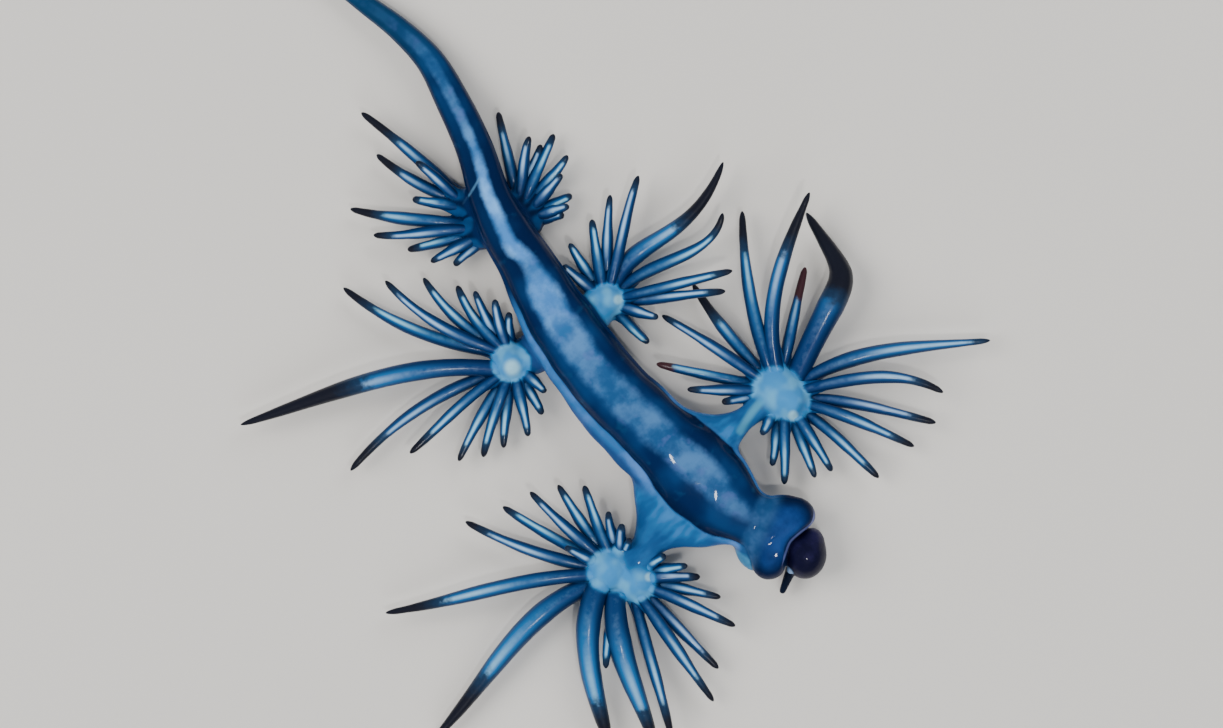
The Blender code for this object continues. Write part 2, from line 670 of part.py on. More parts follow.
def main():
    """Builds the slug, one named object for each part of the animal."""
    clear_scene()
    skin = {name: make_material(name) for name in COLOURS}
    made = build_body(skin["foot"])
    made += build_head(skin["head"], skin["mouth"])
    for name, cluster in CLUSTERS.items():
        made.append(build_cluster(name, cluster, skin["cerata"]))
        if "arm" in cluster:
            made.append(build_arm(cluster["arm"], cluster, skin["arm"]))
    stand_on_origin(made)


main()
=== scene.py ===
import math

import bpy
import numpy as np
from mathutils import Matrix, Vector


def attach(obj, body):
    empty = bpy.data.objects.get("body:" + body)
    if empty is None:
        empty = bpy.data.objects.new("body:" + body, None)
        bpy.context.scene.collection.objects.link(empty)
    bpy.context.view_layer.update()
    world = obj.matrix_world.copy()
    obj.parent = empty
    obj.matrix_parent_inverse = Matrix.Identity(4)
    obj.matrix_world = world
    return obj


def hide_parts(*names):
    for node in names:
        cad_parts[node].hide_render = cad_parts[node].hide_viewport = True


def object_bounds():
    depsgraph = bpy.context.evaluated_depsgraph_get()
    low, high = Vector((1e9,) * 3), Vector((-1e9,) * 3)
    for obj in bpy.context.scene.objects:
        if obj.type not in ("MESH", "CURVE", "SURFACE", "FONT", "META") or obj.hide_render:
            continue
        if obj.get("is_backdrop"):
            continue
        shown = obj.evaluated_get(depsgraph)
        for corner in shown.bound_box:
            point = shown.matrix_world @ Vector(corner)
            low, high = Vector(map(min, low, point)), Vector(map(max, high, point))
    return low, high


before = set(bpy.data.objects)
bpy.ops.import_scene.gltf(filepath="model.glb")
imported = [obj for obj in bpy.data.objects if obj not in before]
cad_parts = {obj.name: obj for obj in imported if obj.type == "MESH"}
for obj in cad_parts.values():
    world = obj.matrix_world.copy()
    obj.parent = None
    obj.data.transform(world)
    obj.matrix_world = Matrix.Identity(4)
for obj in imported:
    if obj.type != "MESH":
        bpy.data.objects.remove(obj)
CAD_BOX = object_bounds()
MM = 0.001
print("solids:", len(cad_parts), "nodes, box", [round(v / MM, 2) for v in (*CAD_BOX[0], *CAD_BOX[1])])

# %% [markdown]
# The solids were moved so that their middle lies on the origin. Two places tell by how much: the tip of the
# longest ceras on the left, and the end of the tail.
# %% Find the move from the animal's frame
LEFTMOST = -18.6
TAIL_END = 27.85
SHIFT = np.array([CAD_BOX[0][0] / MM - LEFTMOST, CAD_BOX[1][1] / MM - TAIL_END, 0.0])
print("moved by", np.round(SHIFT, 3), "mm")

# %% [markdown]
# The camera looks straight down from half a metre through a long lens, as a photographer does who stands
# over the animal. The picture is turned by 41 degrees, which the camera takes up by rolling. The floor is
# plain and pale.
# %% Camera and floor
CAMERA_HEIGHT = 0.5
PICTURE_WIDTH = 61.15
PICTURE_MIDDLE = (0.44, 0.54)
ROLL = math.radians(-41.0)
SENSOR = 36.0
MIDDLE_HEIGHT = 1.5

lens = bpy.data.cameras.new("camera")
lens.sensor_width = SENSOR
lens.lens = SENSOR * (CAMERA_HEIGHT - MIDDLE_HEIGHT * MM) / (PICTURE_WIDTH * MM)
camera = bpy.data.objects.new("camera", lens)
bpy.context.scene.collection.objects.link(camera)
camera.location = (*(SHIFT[:2] + PICTURE_MIDDLE) * MM, CAMERA_HEIGHT)
camera.rotation_euler = (0.0, 0.0, ROLL)
bpy.context.scene.camera = camera
print("lens", round(lens.lens, 1), "mm")

# %% [markdown]
# A material is a short list of nodes, and its sums read best as sums. A wire wraps an output of a node:
# adding, taking away or multiplying wires adds the Math node for it. A recipe wraps one material: it makes
# any other node, reads a mark of the mesh, makes noise, mixes two colours and paints coats over a colour.
# %% Sums on wires


class Wire:
    """An output of a node. A sum of wires and numbers adds the Math node that works it out."""

    def __init__(self, recipe, socket):
        self.recipe, self.socket = recipe, socket

    def math(self, operation, *values):
        return self.recipe.node("ShaderNodeMath", {"operation": operation}, dict(enumerate(values)))

    def __add__(self, other):
        return self.math("ADD", self, other)

    def __sub__(self, other):
        return self.math("SUBTRACT", self, other)

    def __rsub__(self, other):
        return self.math("SUBTRACT", other, self)

    def __mul__(self, other):
        return self.math("MULTIPLY", self, other)

    __radd__, __rmul__ = __add__, __mul__

    def __abs__(self):
        return self.math("ABSOLUTE", self)

    def rise(self, low, high):
        """From 0 where the wire is low to 1 where it is high, in a soft step."""
        settings = {"interpolation_type": "SMOOTHSTEP"}
        return self.recipe.node("ShaderNodeMapRange", settings, {0: self, 1: low, 2: high})


class Recipe:
    """A material with one shader, and the methods that add nodes to it."""

    def __init__(self, name, **constants):
        self.material = bpy.data.materials.new(name)
        self.material.use_nodes = True
        self.nodes = self.material.node_tree.nodes
        self.links = self.material.node_tree.links
        self.shader = self.nodes["Principled BSDF"]
        for socket, value in constants.items():
            self.shader.inputs[socket.replace("_", " ")].default_value = value

    def node(self, kind, settings=None, sockets=None, out=0):
        """Adds a node: its settings first, then the values and links of its sockets."""
        made = self.nodes.new(kind)
        for key, value in (settings or {}).items():
            setattr(made, key, value)
        for key, value in (sockets or {}).items():
            if isinstance(value, Wire):
                self.links.new(value.socket, made.inputs[key])
            else:
                made.inputs[key].default_value = value
        return Wire(self, made.outputs[out])

    def feed(self, socket, wire):
        self.links.new(wire.socket, self.shader.inputs[socket])

    def mark(self, name):
        """A number that each point of the mesh carries."""
        return self.node("ShaderNodeAttribute", {"attribute_name": name}, out=2)

    def noise(self, size, detail=3.0, rough=0.5, stretch=(1.0, 1.0, 1.0), turn=0.0):
        """Soft noise with spots of this size in millimetres, from 0 to 1, stretched or turned about Z."""
        turned = {0: self.node("ShaderNodeTexCoord", out=3), 2: (0.0, 0.0, math.radians(turn)), 3: stretch}
        place = self.node("ShaderNodeMapping", sockets=turned)
        sockets = {"Vector": place, "Scale": 1.0 / (size * MM), "Detail": detail, "Roughness": rough}
        return self.node("ShaderNodeTexNoise", sockets=sockets)

    def mix(self, share, low, high):
        """Low where the share is 0 and high where it is 1. Plain colours are as they look on a screen."""
        low, high = (c if isinstance(c, Wire) else (*tone(*c), 1.0) for c in (low, high))
        return self.node("ShaderNodeMix", {"data_type": "RGBA"}, {0: share, 6: low, 7: high}, out=2)

    def paint(self, colour, *coats):
        """The colour with coats laid over it in turn, each given as its share and its tint."""
        for share, tint in coats:
            colour = self.mix(share, colour, tint)
        return colour


def tone(*screen):
    """A colour as it looks on a screen, 0 to 255, as the light that Blender reckons with (sRGB's curve)."""
    return tuple(round(((c / 255 + 0.055) / 1.055) ** 2.4, 5) if c > 10 else c / 3295 for c in screen)


print("a mid blue is", tone(60, 120, 180))

# %% [markdown]
# The floor is a large flat sheet with a faint cloudiness. It isn't part of the animal, so it is staged.
# %% Lay the floor
FLOOR_HALF = 0.6
floor_mesh = bpy.data.meshes.new("floor")
corners = [(-1, -1), (1, -1), (1, 1), (-1, 1)]
floor_mesh.from_pydata([(x * FLOOR_HALF, y * FLOOR_HALF, 0.0) for x, y in corners], [], [(0, 1, 2, 3)])
floor = bpy.data.objects.new("floor", floor_mesh)
bpy.context.scene.collection.objects.link(floor)
pale = Recipe("pale_floor", Roughness=0.75)
pale.feed("Base Color", pale.mix(pale.noise(30.0), (222, 218, 212), (230, 226, 220)))
floor_mesh.materials.append(pale.material)
floor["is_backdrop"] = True
print("floor laid, half width", FLOOR_HALF, "m")

# %% [markdown]
# Wide soft lamps on three sides light the animal without a glare: they are kept out of its reflections. A
# small bright one is the only lamp that the wet skin mirrors, as the sharp white dots of the photograph.
# %% Light the scene


def lamp(name, place, size, watts, colour=(1.0, 1.0, 1.0), mirrored=False):
    """A round lamp at a place in metres that faces the animal."""
    data = bpy.data.lights.new(name, "AREA")
    data.shape, data.size, data.energy, data.color = "DISK", size, watts, colour
    made = bpy.data.objects.new(name, data)
    made.location = place
    made.rotation_euler = (-made.location).to_track_quat("-Z", "Y").to_euler()
    made.visible_camera = False
    made.visible_glossy = mirrored
    bpy.context.scene.collection.objects.link(made)
    return made


lamps = [
    lamp("soft_key", (-0.26, 0.30, 0.38), 0.45, 2.9, (1.0, 0.98, 0.95)),
    lamp("soft_right", (0.42, 0.10, 0.30), 0.40, 1.6, (0.95, 0.97, 1.0)),
    lamp("soft_left", (-0.20, -0.42, 0.30), 0.40, 1.6, (0.95, 0.97, 1.0)),
    lamp("small_bright", (-0.035, -0.135, 0.44), 0.038, 0.40, mirrored=True),
]
ROOM_LIGHT, ROOM_STRENGTH = (0.80, 0.86, 0.92, 1.0), 0.20
world = bpy.data.worlds.new("studio")
world.use_nodes = True
for socket, value in zip(world.node_tree.nodes["Background"].inputs, (ROOM_LIGHT, ROOM_STRENGTH)):
    socket.default_value = value
bpy.context.scene.world = world
print("lamps:", [made.name for made in lamps])

# %% [markdown]
# The body is a long loaf whose sections stand square on one curved middle line. Each row below gives one
# section: where it is, half the width of the foot, and the heights of the foot and the back. A smooth
# curve through the rows gives every section between them.
# %% The body's middle line and sections
# (place along y, place across x, half width of the foot, height of the foot, height of the back)
STATIONS = (
    (-11.0, 1.10, 1.55, 2.55, 0.80),
    (-9.7, 0.55, 1.36, 2.82, 0.50),
    (-8.4, 0.25, 1.82, 3.10, 0.10),
    (-6.6, 0.08, 2.10, 3.30, -0.15),
    (-4.5, -0.18, 1.98, 3.40, -0.20),
    (-2.0, -0.45, 1.88, 3.40, -0.20),
    (0.4, -0.45, 1.75, 3.30, -0.15),
    (3.0, -0.20, 1.60, 3.15, 0.00),
    (5.1, 0.12, 1.45, 3.00, 0.20),
    (7.3, 0.60, 1.28, 2.85, 0.40),
    (9.0, 0.85, 1.18, 2.70, 0.55),
    (10.7, 1.30, 1.03, 2.50, 0.60),
    (13.1, 2.32, 0.92, 2.15, 0.55),
    (15.7, 3.08, 0.84, 1.80, 0.40),
    (18.0, 3.55, 0.70, 1.50, 0.28),
    (20.1, 3.42, 0.58, 1.25, 0.18),
    (22.5, 2.92, 0.47, 1.02, 0.08),
    (25.2, 2.40, 0.34, 0.75, -0.04),
    (28.0, 2.30, 0.10, 0.36, -0.02),
)
SLOPE_REACH = 0.3
NEARING_STEPS = 7


def smooth_line(stations, at):
    """Every column of the rows, read at places along the first: a cubic in each stretch, whose slope at a
    row is that of the chord between its two neighbours."""
    rows = np.asarray(stations, float)
    places = rows[:, 0]
    slopes = np.gradient(rows, places, axis=0)
    at = np.clip(np.asarray(at, float), places[0], places[-1])
    low = np.clip(np.searchsorted(places, at, side="right") - 1, 0, len(places) - 2)
    span = (places[low + 1] - places[low])[..., None]
    t = (at - places[low])[..., None] / span
    first = rows[low] * (2 * t**3 - 3 * t**2 + 1) + slopes[low] * span * (t**3 - 2 * t**2 + t)
    second = rows[low + 1] * (3 * t**2 - 2 * t**3) + slopes[low + 1] * span * (t**3 - t**2)
    return first + second


def line_through(places, at):
    """A smooth line through the places, read at steps from one place to the next."""
    return smooth_line(np.column_stack([np.arange(len(places)), places]), at)[..., 1:]


def read_table(table, at):
    """The second column of a table, read evenly between the places in its first."""
    return np.interp(at, *zip(*table))


def along_the_body(x, y):
    """For points seen from above, the place s of the section that each lies in, and how far across it.

    A section stands square on the middle line, so s = y to start with, and each step moves s by what is
    left of the way to the point along the line's own direction."""
    s = np.array(y, float)
    for _ in range(NEARING_STEPS):
        before, after = smooth_line(STATIONS, s - SLOPE_REACH), smooth_line(STATIONS, s + SLOPE_REACH)
        slope = (after[..., 1] - before[..., 1]) / (after[..., 0] - before[..., 0] + 1e-9)
        away = x - smooth_line(STATIONS, s)[..., 1]
        s = s + (away * slope + (y - s)) / (1 + slope**2)
    return s, (away - (y - s) * slope) / np.hypot(1, slope)


print("middle of the foot at s = 0:", np.round(smooth_line(STATIONS, 0.0), 2))

# %% [markdown]
# Flesh that runs from body to arm to pad has no seams, so the whole skin is made at once, as a field: a
# number for every point in space that is below zero inside the animal. Each form gives its own field, and
# a smooth minimum joins two of them with a soft crease between. The foot is a low full arch, and the flank
# behind it is a little wider, so that a fine edge runs along the foot.
# %% Fields of the body
FLANK = 0.26
FLANK_SHIFT = -0.10
SLIM_HALF = 0.95
WIDE_HALF = 1.55
MARGIN_HEIGHT = 0.62
FLANK_RISE = 0.42
TAIL_ROUND = 1.1
NECK_START = -11.0
# How full the section is above and below its margin: 2 gives an oval, and more gives fuller corners.
FULL_ABOVE, FULL_BELOW = 2.7, 2.2
# Low soft swells: their height, and for each wave its turns across and along and its start.
SWELL = 0.016
WAVES = ((1.9, 0.4, 0.3), (0.7, 2.3, 1.9), (2.6, -1.7, 4.0), (-1.2, 3.4, 0.8))
# How far the foot's left edge lies inside its section, as (place along the body, millimetres).
FOOT_TRIM = ((-7.0, 0.0), (-5.1, 0.18), (-3.1, 0.42), (-1.5, 0.30), (0.3, 0.15), (3.0, 0.0))


def join(first, second, soft):
    """The smaller of two fields, rounded where they differ by less than soft."""
    near = np.maximum(soft - np.abs(first - second), 0) / soft
    return np.minimum(first, second) - near**2 * soft / 4


def unevenness(x, y):
    """Low soft swells of the wet skin: the sum of long waves that cross each other, each a sine of the place."""
    return SWELL * sum(np.sin(across * x + along * y + start) for across, along, start in WAVES)


def outside(reach, r):
    """The field of a form round a middle: the reach from the middle times 1 - 1 / r, where r is 1 on the form
    and grows evenly outwards, so about the distance to the form."""
    return reach * (1 - 1 / np.maximum(r, 0.05))


def body_fields(x, y, z, section=None):
    """The fields of the foot and of the flank, from each point's place in its section. There r is the full-th
    root of |out / half width| to the power full plus |up| to the power full."""
    s, o = section or along_the_body(x, y)
    _, _, half, top, bottom = np.moveaxis(smooth_line(STATIONS, s), -1, 0)
    half = half * np.sqrt(np.clip(1 - (np.maximum(s - TAIL_END + TAIL_ROUND, 0) / TAIL_ROUND) ** 2, 0.03, 1))
    stout = np.clip((half - SLIM_HALF) / (WIDE_HALF - SLIM_HALF), 0, 1)
    margin = bottom + MARGIN_HEIGHT * (top - bottom)
    ends = np.maximum(NECK_START - s, s - TAIL_END)
    trim = read_table(FOOT_TRIM, s) / 2
    fields = []
    for wide, out, rise in (
        (half - trim, o - trim, top - margin),
        (half + FLANK * stout, o - FLANK_SHIFT * stout, FLANK_RISE * (top - margin)),
    ):
        up = np.where(z > margin, (z - margin) / rise, (z - margin) / (margin - bottom))
        full = np.where(z > margin, FULL_ABOVE, FULL_BELOW)
        r = (np.abs(out / wide) ** full + np.abs(up) ** full) ** (1 / full)
        field = outside(np.hypot(out, z - margin), r) + unevenness(x, y) * stout
        fields.append(np.maximum(field, ends))
    return fields


on_the_edge = body_fields(*np.array([[1.3], [0.0], [2.0]]))
print("the foot's field on its edge:", np.round(on_the_edge, 3))

# %% [markdown]
# The head is a two-lobed cap like a cushion, with a pale flap on its left, the dark mouth in front and
# four short feelers. The cap's outline is drawn as places on a closed curve, which any direction from
# its middle crosses once. So the curve's distance in each direction is enough to make it a field.
# %% Fields of the head
HEAD_EDGE = (
    ((2.28, -9.88), (3.15, -10.65), (3.36, -11.40), (3.00, -12.00), (2.10, -12.08))
    + ((1.45, -12.08), (0.90, -12.32), (0.40, -12.78), (-0.20, -12.97), (-0.80, -12.66))
    + ((-1.00, -12.05), (-0.74, -11.35), (-0.50, -10.80), (0.20, -10.45), (1.30, -10.10))
)
HEAD_MIDDLE = np.array([1.15, -11.20])
HEAD_HEIGHTS = (0.75, 2.72)
# How full the cap is: across, up, and both together.
CAP_FULL = (3.6, 2.3, 2.6)
# Balls, each as its middle and its three radii.
HEAD_FLAP = ((-0.74, -11.25, 1.30), (0.46, 0.80, 0.62))
MOUTH = ((1.52, -13.02, 1.35), (1.06, 1.04, 1.08))
MOUTH_LOBES = (((2.28, -12.62, 1.20), (0.52, 0.52, 0.66)), ((1.22, -13.33, 1.25), (0.72, 0.72, 0.86)))
MOUTH_KNOB = ((0.46, -13.10, 1.62), (0.21, 0.21, 0.21))
# The line of the mouth: where it faces, how deep it is, and its half length and half height.
MOUTH_BEARING, MOUTH_TILT = math.radians(285.0), -0.25
MOUTH_LINE = (0.22, 0.38, 0.16)
# Start, end and width of each feeler. Only the first shows from above, so the other three stop short under
# the cap and the mouth.
FEELERS = (
    ((0.80, -12.95, 1.10), (-0.68, -13.72, 0.75), 0.62),
    ((2.00, -12.70, 0.95), (2.30, -12.77, 0.84), 0.62),
    ((0.30, -11.75, 1.10), (-0.72, -12.45, 0.71), 0.60),
    ((2.25, -11.30, 1.10), (3.10, -11.60, 0.77), 0.60),
)
FEELER_BLUNT = 0.17


# The closed line goes on past its ends, so that its first and last stretch are as smooth as the others.
HEAD_POINTS = 720
HEAD_STEPS = 2 + np.arange(HEAD_POINTS) * len(HEAD_EDGE) / HEAD_POINTS
HEAD_OUTLINE = line_through((*HEAD_EDGE[-2:], *HEAD_EDGE, *HEAD_EDGE[:2]), HEAD_STEPS)


def head_share(x, y):
    """How far out a point is, seen from above, as a share of the way to the cap's outline."""
    edge = HEAD_OUTLINE - HEAD_MIDDLE
    bearing = np.arctan2(edge[:, 1], edge[:, 0])
    order = np.argsort(bearing)
    away = np.arctan2(y - HEAD_MIDDLE[1], x - HEAD_MIDDLE[0])
    radius = np.interp(away, bearing[order], np.hypot(*edge.T)[order], period=2 * math.pi)
    reach = np.hypot(x - HEAD_MIDDLE[0], y - HEAD_MIDDLE[1])
    return reach / radius, reach


def ball(x, y, z, centre, radii):
    """The field of a ball stretched to three radii."""
    out = [(p - c) for p, c in zip((x, y, z), centre)]
    r = np.sqrt(sum((p / size) ** 2 for p, size in zip(out, radii)))
    return outside(np.sqrt(sum(p**2 for p in out)), r)


def rod(x, y, z, start, end, thick, thin, flat=1.0):
    """The field of a rod from start to end, whose radius goes evenly from thick to thin. A flat rod is this
    many times wider than it is high."""
    start, run = np.array(start), np.array(end) - np.array(start)
    t = sum((p - c) * r for p, c, r in zip((x, y, z), start, run)) / (run @ run)
    t = np.clip(t, 0, 1)
    gaps = [(p - c - t * r) for p, c, r in zip((x, y, z), start, run)]
    return np.sqrt(gaps[0] ** 2 + gaps[1] ** 2 + (gaps[2] * flat) ** 2) - thick - t * (thin - thick)


def cap_field(x, y, z):
    """The cap: its outline drawn in over and under towards the middle, like a full cushion. Here r is a root
    of a power of the share of the way to the outline plus a power of |lift / half height|."""
    share, reach = head_share(x, y)
    low, high = HEAD_HEIGHTS
    lift = z - (low + high) / 2
    full_across, full_up, full = CAP_FULL
    r = (share**full_across + np.abs(lift / ((high - low) / 2)) ** full_up) ** (1 / full)
    return outside(np.hypot(reach, lift), r)


def mouth_field(x, y, z):
    """The mouth's bulb, with the line of the mouth sunk into its front between two lips: a dent of the depth
    times e to the power -(across / half length)^2 - (above / half height)^2."""
    front = np.array([math.cos(MOUTH_BEARING), math.sin(MOUTH_BEARING), MOUTH_TILT])
    front /= np.linalg.norm(front)
    side = np.cross(front, [0.0, 0.0, 1.0])
    side /= np.linalg.norm(side)
    over = np.cross(side, front)
    out = [(p - c) for p, c in zip((x, y, z), MOUTH[0])]
    length = np.sqrt(sum(p**2 for p in out)) + 1e-6
    facing, across, above = (sum(p * a for p, a in zip(out, axis)) / length for axis in (front, side, over))
    depth, half_length, half_height = MOUTH_LINE
    dent = depth * np.exp(-((across / half_length) ** 2) - (above / half_height) ** 2) * (facing > 0)
    bulb = ball(x, y, z, *MOUTH)
    for lobe in MOUTH_LOBES:
        bulb = join(bulb, ball(x, y, z, *lobe), HEAD_BLEND)
    return bulb + dent


print("the cap's outline is", np.round(np.ptp(HEAD_OUTLINE, axis=0), 2), "mm")

# %% [markdown]
# Two long arms leave the flanks as broad webs that narrow to the front pads. The four other pads sit
# against the flank. A pad is one to three rounded lobes.
# %% Fields of the arms and pads
# (place across x, place along y, half width, half thickness, height of the middle)
ARMS = {
    "left": (
        (-0.6, -7.0, 3.00, 0.85, 1.75),
        (-2.1, -6.85, 2.55, 0.78, 1.70),
        (-2.9, -6.85, 1.85, 0.70, 1.60),
        (-3.6, -7.15, 1.15, 0.62, 1.45),
        (-4.3, -7.50, 0.85, 0.58, 1.35),
        (-5.6, -7.75, 0.80, 0.55, 1.25),
    ),
    "right": (
        (0.6, -5.1, 1.85, 0.85, 1.80),
        (1.9, -5.4, 1.45, 0.78, 1.75),
        (2.7, -5.7, 0.95, 0.68, 1.60),
        (3.5, -5.85, 0.62, 0.58, 1.45),
        (4.4, -5.95, 0.58, 0.52, 1.35),
        (5.6, -6.10, 0.60, 0.50, 1.25),
    ),
}
ARM_FULL = 2.4


def arm_field(x, y, z, name):
    """An arm: an oval in every plane across x, whose half sizes follow the rows: r is the root of
    (out / half)^2 plus |up / thick| to its own power."""
    rows = np.array(ARMS[name])
    rows = rows[np.argsort(rows[:, 0])]
    _, middle, half, thick, height = np.moveaxis(smooth_line(rows, x), -1, 0)
    out, up = (y - middle), (z - height)
    r = np.sqrt((out / half) ** 2 + np.abs(up / thick) ** ARM_FULL)
    ends = np.maximum(rows[0, 0] - x, x - rows[-1, 0])
    return np.maximum(outside(np.hypot(out, up), r), ends)


print("arms:", [round(abs(rows[-1][0] - rows[0][0]), 1) for rows in ARMS.values()], "mm long")

# %% [markdown]
# Each fan is a table of runs. A run is a row of similar cerata: how many, the bearings and reaches of the
# first and last tip from the pad's middle, the bearings of their roots, the width, the turns on leaving and
# arriving, the height of the tips, the share of the length where the dark tip starts, and how pale the
# streak is. A ceras by itself has one number in place of a first and a last, and a ceras with a sharper bend
# has two more numbers beside its turns: the lengths of the curve's handles, as shares of its own.
# %% The six fans
FANS = {}


def add_fan(name, centre, rim, pad, *runs):
    """Keeps a fan: its middle, the rim of its pad, each lobe as (place, radii, top), and its runs."""
    FANS[name] = {"centre": centre, "rim": rim, "pad": pad, "runs": runs}


add_fan(
    "front_left",
    (-6.1, -7.8),
    (1.55, 1.60),
    (((-6.45, -7.15), (1.15, 1.10), 2.05), ((-5.80, -8.45), (1.05, 1.05), 1.95)),
    (3, (37, 61), (1.9, 3.3), (50, 70), 0.50, (-16, -12), 2.30, 0.88, 0.8),
    (4, (72, 109), (4.9, 6.9), (80, 106), 0.52, (4, -4), 1.50, 0.85, 0.9),
    (1, 112, 3.2, 113, 0.50, (0, 0), 2.30, 0.88, 0.9),
    (1, 120, 8.3, 122, 0.55, (8, -9), 1.00, 0.80, 0.9),
    (1, 148, 12.0, 138, 0.75, (-10, 0), 0.90, 0.71, 0.7),
    (1, 180, 12.5, 154, 1.10, (-25, 5), 0.80, 0.64, 0.4),
    (1, 225, 8.6, 146, 1.25, (-25, 20), 0.70, 0.72, 0.3),
    (1, 219, 4.7, 206, 0.50, (8, 10), 2.10, 0.86, 0.8),
    (1, 240, 8.8, 208, 1.20, (-15, 5), 0.70, 0.74, 0.4),
    (1, 246, 8.5, 262, 0.55, (-4, -4), 1.70, 0.76, 0.9),
    (2, (265, 275), (7.8, 6.7), (272, 283), 0.56, (0, 0), 0.80, 0.78, 0.8),
    (3, (295, 318), (6.2, 3.9), (293, 311), 0.52, (5, 0), 1.10, 0.80, 0.9),
    (2, (328, 344), (3.3, 2.4), (325, 338), 0.50, (6, 0), 2.20, 0.88, 0.9),
)
add_fan(
    "front_right",
    (5.9, -6.1),
    (1.50, 1.50),
    (((5.80, -6.00), (1.30, 1.35), 2.10), ((5.98, -6.85), (0.94, 0.94), 2.20)),
    (1, 38, 6.4, 47, 0.50, (-2, -3), 1.00, 0.70, 0.2),
    (1, 41, 10.1, 56, 0.78, (25, -15), 2.10, 0.64, 0.5),
    (1, 41, 9.1, 0, 1.35, (-15, 40, 0.8, 0.6), 0.90, 0.31, 0.4),
    (1, 61, 9.3, 77, 0.62, (8, -11), 1.00, 0.73, 0.6),
    (1, 88, 7.0, 92, 0.56, (4, -8), 0.45, 0.60, 0.5),
    (1, 106, 7.1, 106, 0.50, (-3, 3), 0.60, 0.86, 0.7),
    (3, (126, 148), (6.4, 3.0), (118, 142), 0.50, (3, 0), 2.00, 0.84, 0.6),
    (1, 203, 2.3, 212, 0.50, (-20, -20), 2.10, 0.90, 0.6),
    (2, (222, 231), (3.7, 4.6), (228, 242), 0.50, (-6, -7), 1.30, 0.86, 0.8),
    (2, (251, 262), (4.6, 4.7), (254, 265), 0.50, (0, -3), 1.00, 0.86, 0.8),
    (1, 278, 6.5, 276, 0.52, (9, -3), 1.00, 0.82, 0.8),
    (2, (297, 308), (7.2, 7.9), (290, 303), 0.52, (9, -3), 1.00, 0.79, 0.8),
    (1, 319, 8.1, 325, 0.58, (13, -31), 1.60, 0.76, 0.9),
    (1, 333, 10.8, 346, 0.72, (19, -8), 1.00, 0.90, 0.8),
)
add_fan(
    "middle_left",
    (-3.3, 3.9),
    (0.95, 1.00),
    (((-3.35, 3.90), (0.98, 0.98), 1.95), ((-2.10, 3.50), (1.20, 1.05), 1.85)),
    (3, (51, 76), (2.5, 4.0), (46, 70), 0.50, (8, -6), 1.80, 0.88, 1.0),
    (3, (84, 106), (4.7, 7.5), (74, 88), 0.50, (15, -15), 1.20, 0.84, 1.0),
    (1, 115, 9.2, 92, 0.60, (15, -15), 0.90, 0.76, 0.9),
    (1, 152, 13.9, 176, 0.98, (-20, 5), 0.90, 0.50, 0.5),
    (1, 173, 9.7, 180, 0.56, (-16, 16), 0.80, 0.72, 0.7),
    (1, 181, 6.8, 197, 0.50, (-11, 0), 1.60, 0.76, 0.8),
    (3, (201, 224), (5.6, 4.3), (210, 232), 0.50, (-5, 4), 1.00, 0.82, 1.0),
    (3, (242, 278), (3.8, 2.3), (250, 286), 0.50, (-7, -7), 1.30, 0.86, 0.9),
)
add_fan(
    "middle_right",
    (2.4, 3.1),
    (0.80, 0.85),
    (((2.40, 3.10), (0.82, 0.86), 1.95), ((1.55, 2.90), (0.95, 0.80), 1.80))
    + (((1.80, 3.60), (0.70, 0.50), 1.90),),
    (1, 9, 9.0, 18, 0.90, (25, 20, 0.36, 0.55), 1.40, 0.60, 0.6),
    (3, (35, 60), (6.4, 4.1), (36, 76), 0.50, (-2, -5), 1.20, 0.86, 1.0),
    (2, (83, 101), (3.4, 2.8), (94, 112), 0.50, (-2, -5), 1.60, 0.90, 1.0),
    (2, (273, 300), (3.0, 2.7), (262, 286), 0.50, (6, 10), 1.20, 0.88, 0.9),
    (2, (323, 332), (5.9, 6.4), (308, 328), 0.50, (0, 0), 2.50, 0.84, 1.0),
    (1, 356, 7.2, 348, 0.56, (15, 45), 2.00, 0.78, 0.9),
)
add_fan(
    "rear_left",
    (0.05, 10.6),
    (0.75, 1.90),
    (((-0.30, 9.90), (0.75, 0.95), 1.45), ((0.35, 11.20), (0.75, 0.95), 1.45)),
    (1, 96, 7.7, 62, 0.55, (1, 6), 0.90, 0.64, 0.6),
    (1, 95, 4.0, 84, 0.50, (3, 8), 1.40, 0.85, 0.8),
    (1, 106, 5.8, 104, 0.50, (10, -8), 0.70, 0.66, 0.6),
    (1, 122, 3.2, 128, 0.50, (0, 0), 1.50, 0.85, 0.8),
    (1, 135, 6.2, 182, 0.60, (-2, -11), 0.90, 0.70, 0.6),
    (2, (149, 165), (5.1, 3.7), (198, 214), 0.50, (-10, -14), 0.90, 0.80, 0.8),
    (2, (185, 207), (3.1, 2.6), (228, 244), 0.50, (-16, -16), 0.90, 0.85, 0.8),
)
add_fan(
    "rear_right",
    (2.2, 9.2),
    (0.60, 1.25),
    (((2.00, 9.20), (0.80, 1.35), 1.40),),
    (1, 64, 5.1, 74, 0.50, (-6, -4), 0.90, 0.76, 0.6),
    (1, 45, 3.7, 62, 0.50, (-13, -15), 1.40, 0.84, 0.9),
    (2, (35, 28), (3.4, 4.1), (46, 28), 0.50, (0, -2), 0.90, 0.84, 0.9),
    (2, (11, 3), (3.5, 2.6), (8, -14), 0.50, (4, 8), 1.20, 0.86, 0.9),
    (3, (337, 312), (2.5, 2.0), (328, 290), 0.50, (10, 10), 0.90, 0.86, 0.9),
)
LOBE_HALF_HEIGHT = 0.56
ROOT_DEPTH = 0.62
ROOT_SHARES = (0.45, 0.66)
PALE_LOBES = {"front_left": 2, "front_right": 2, "middle_left": 1, "middle_right": 3}
HEIGHT_SPREAD = 0.18
HANDLES = (0.36, 0.36)
SEED = 7
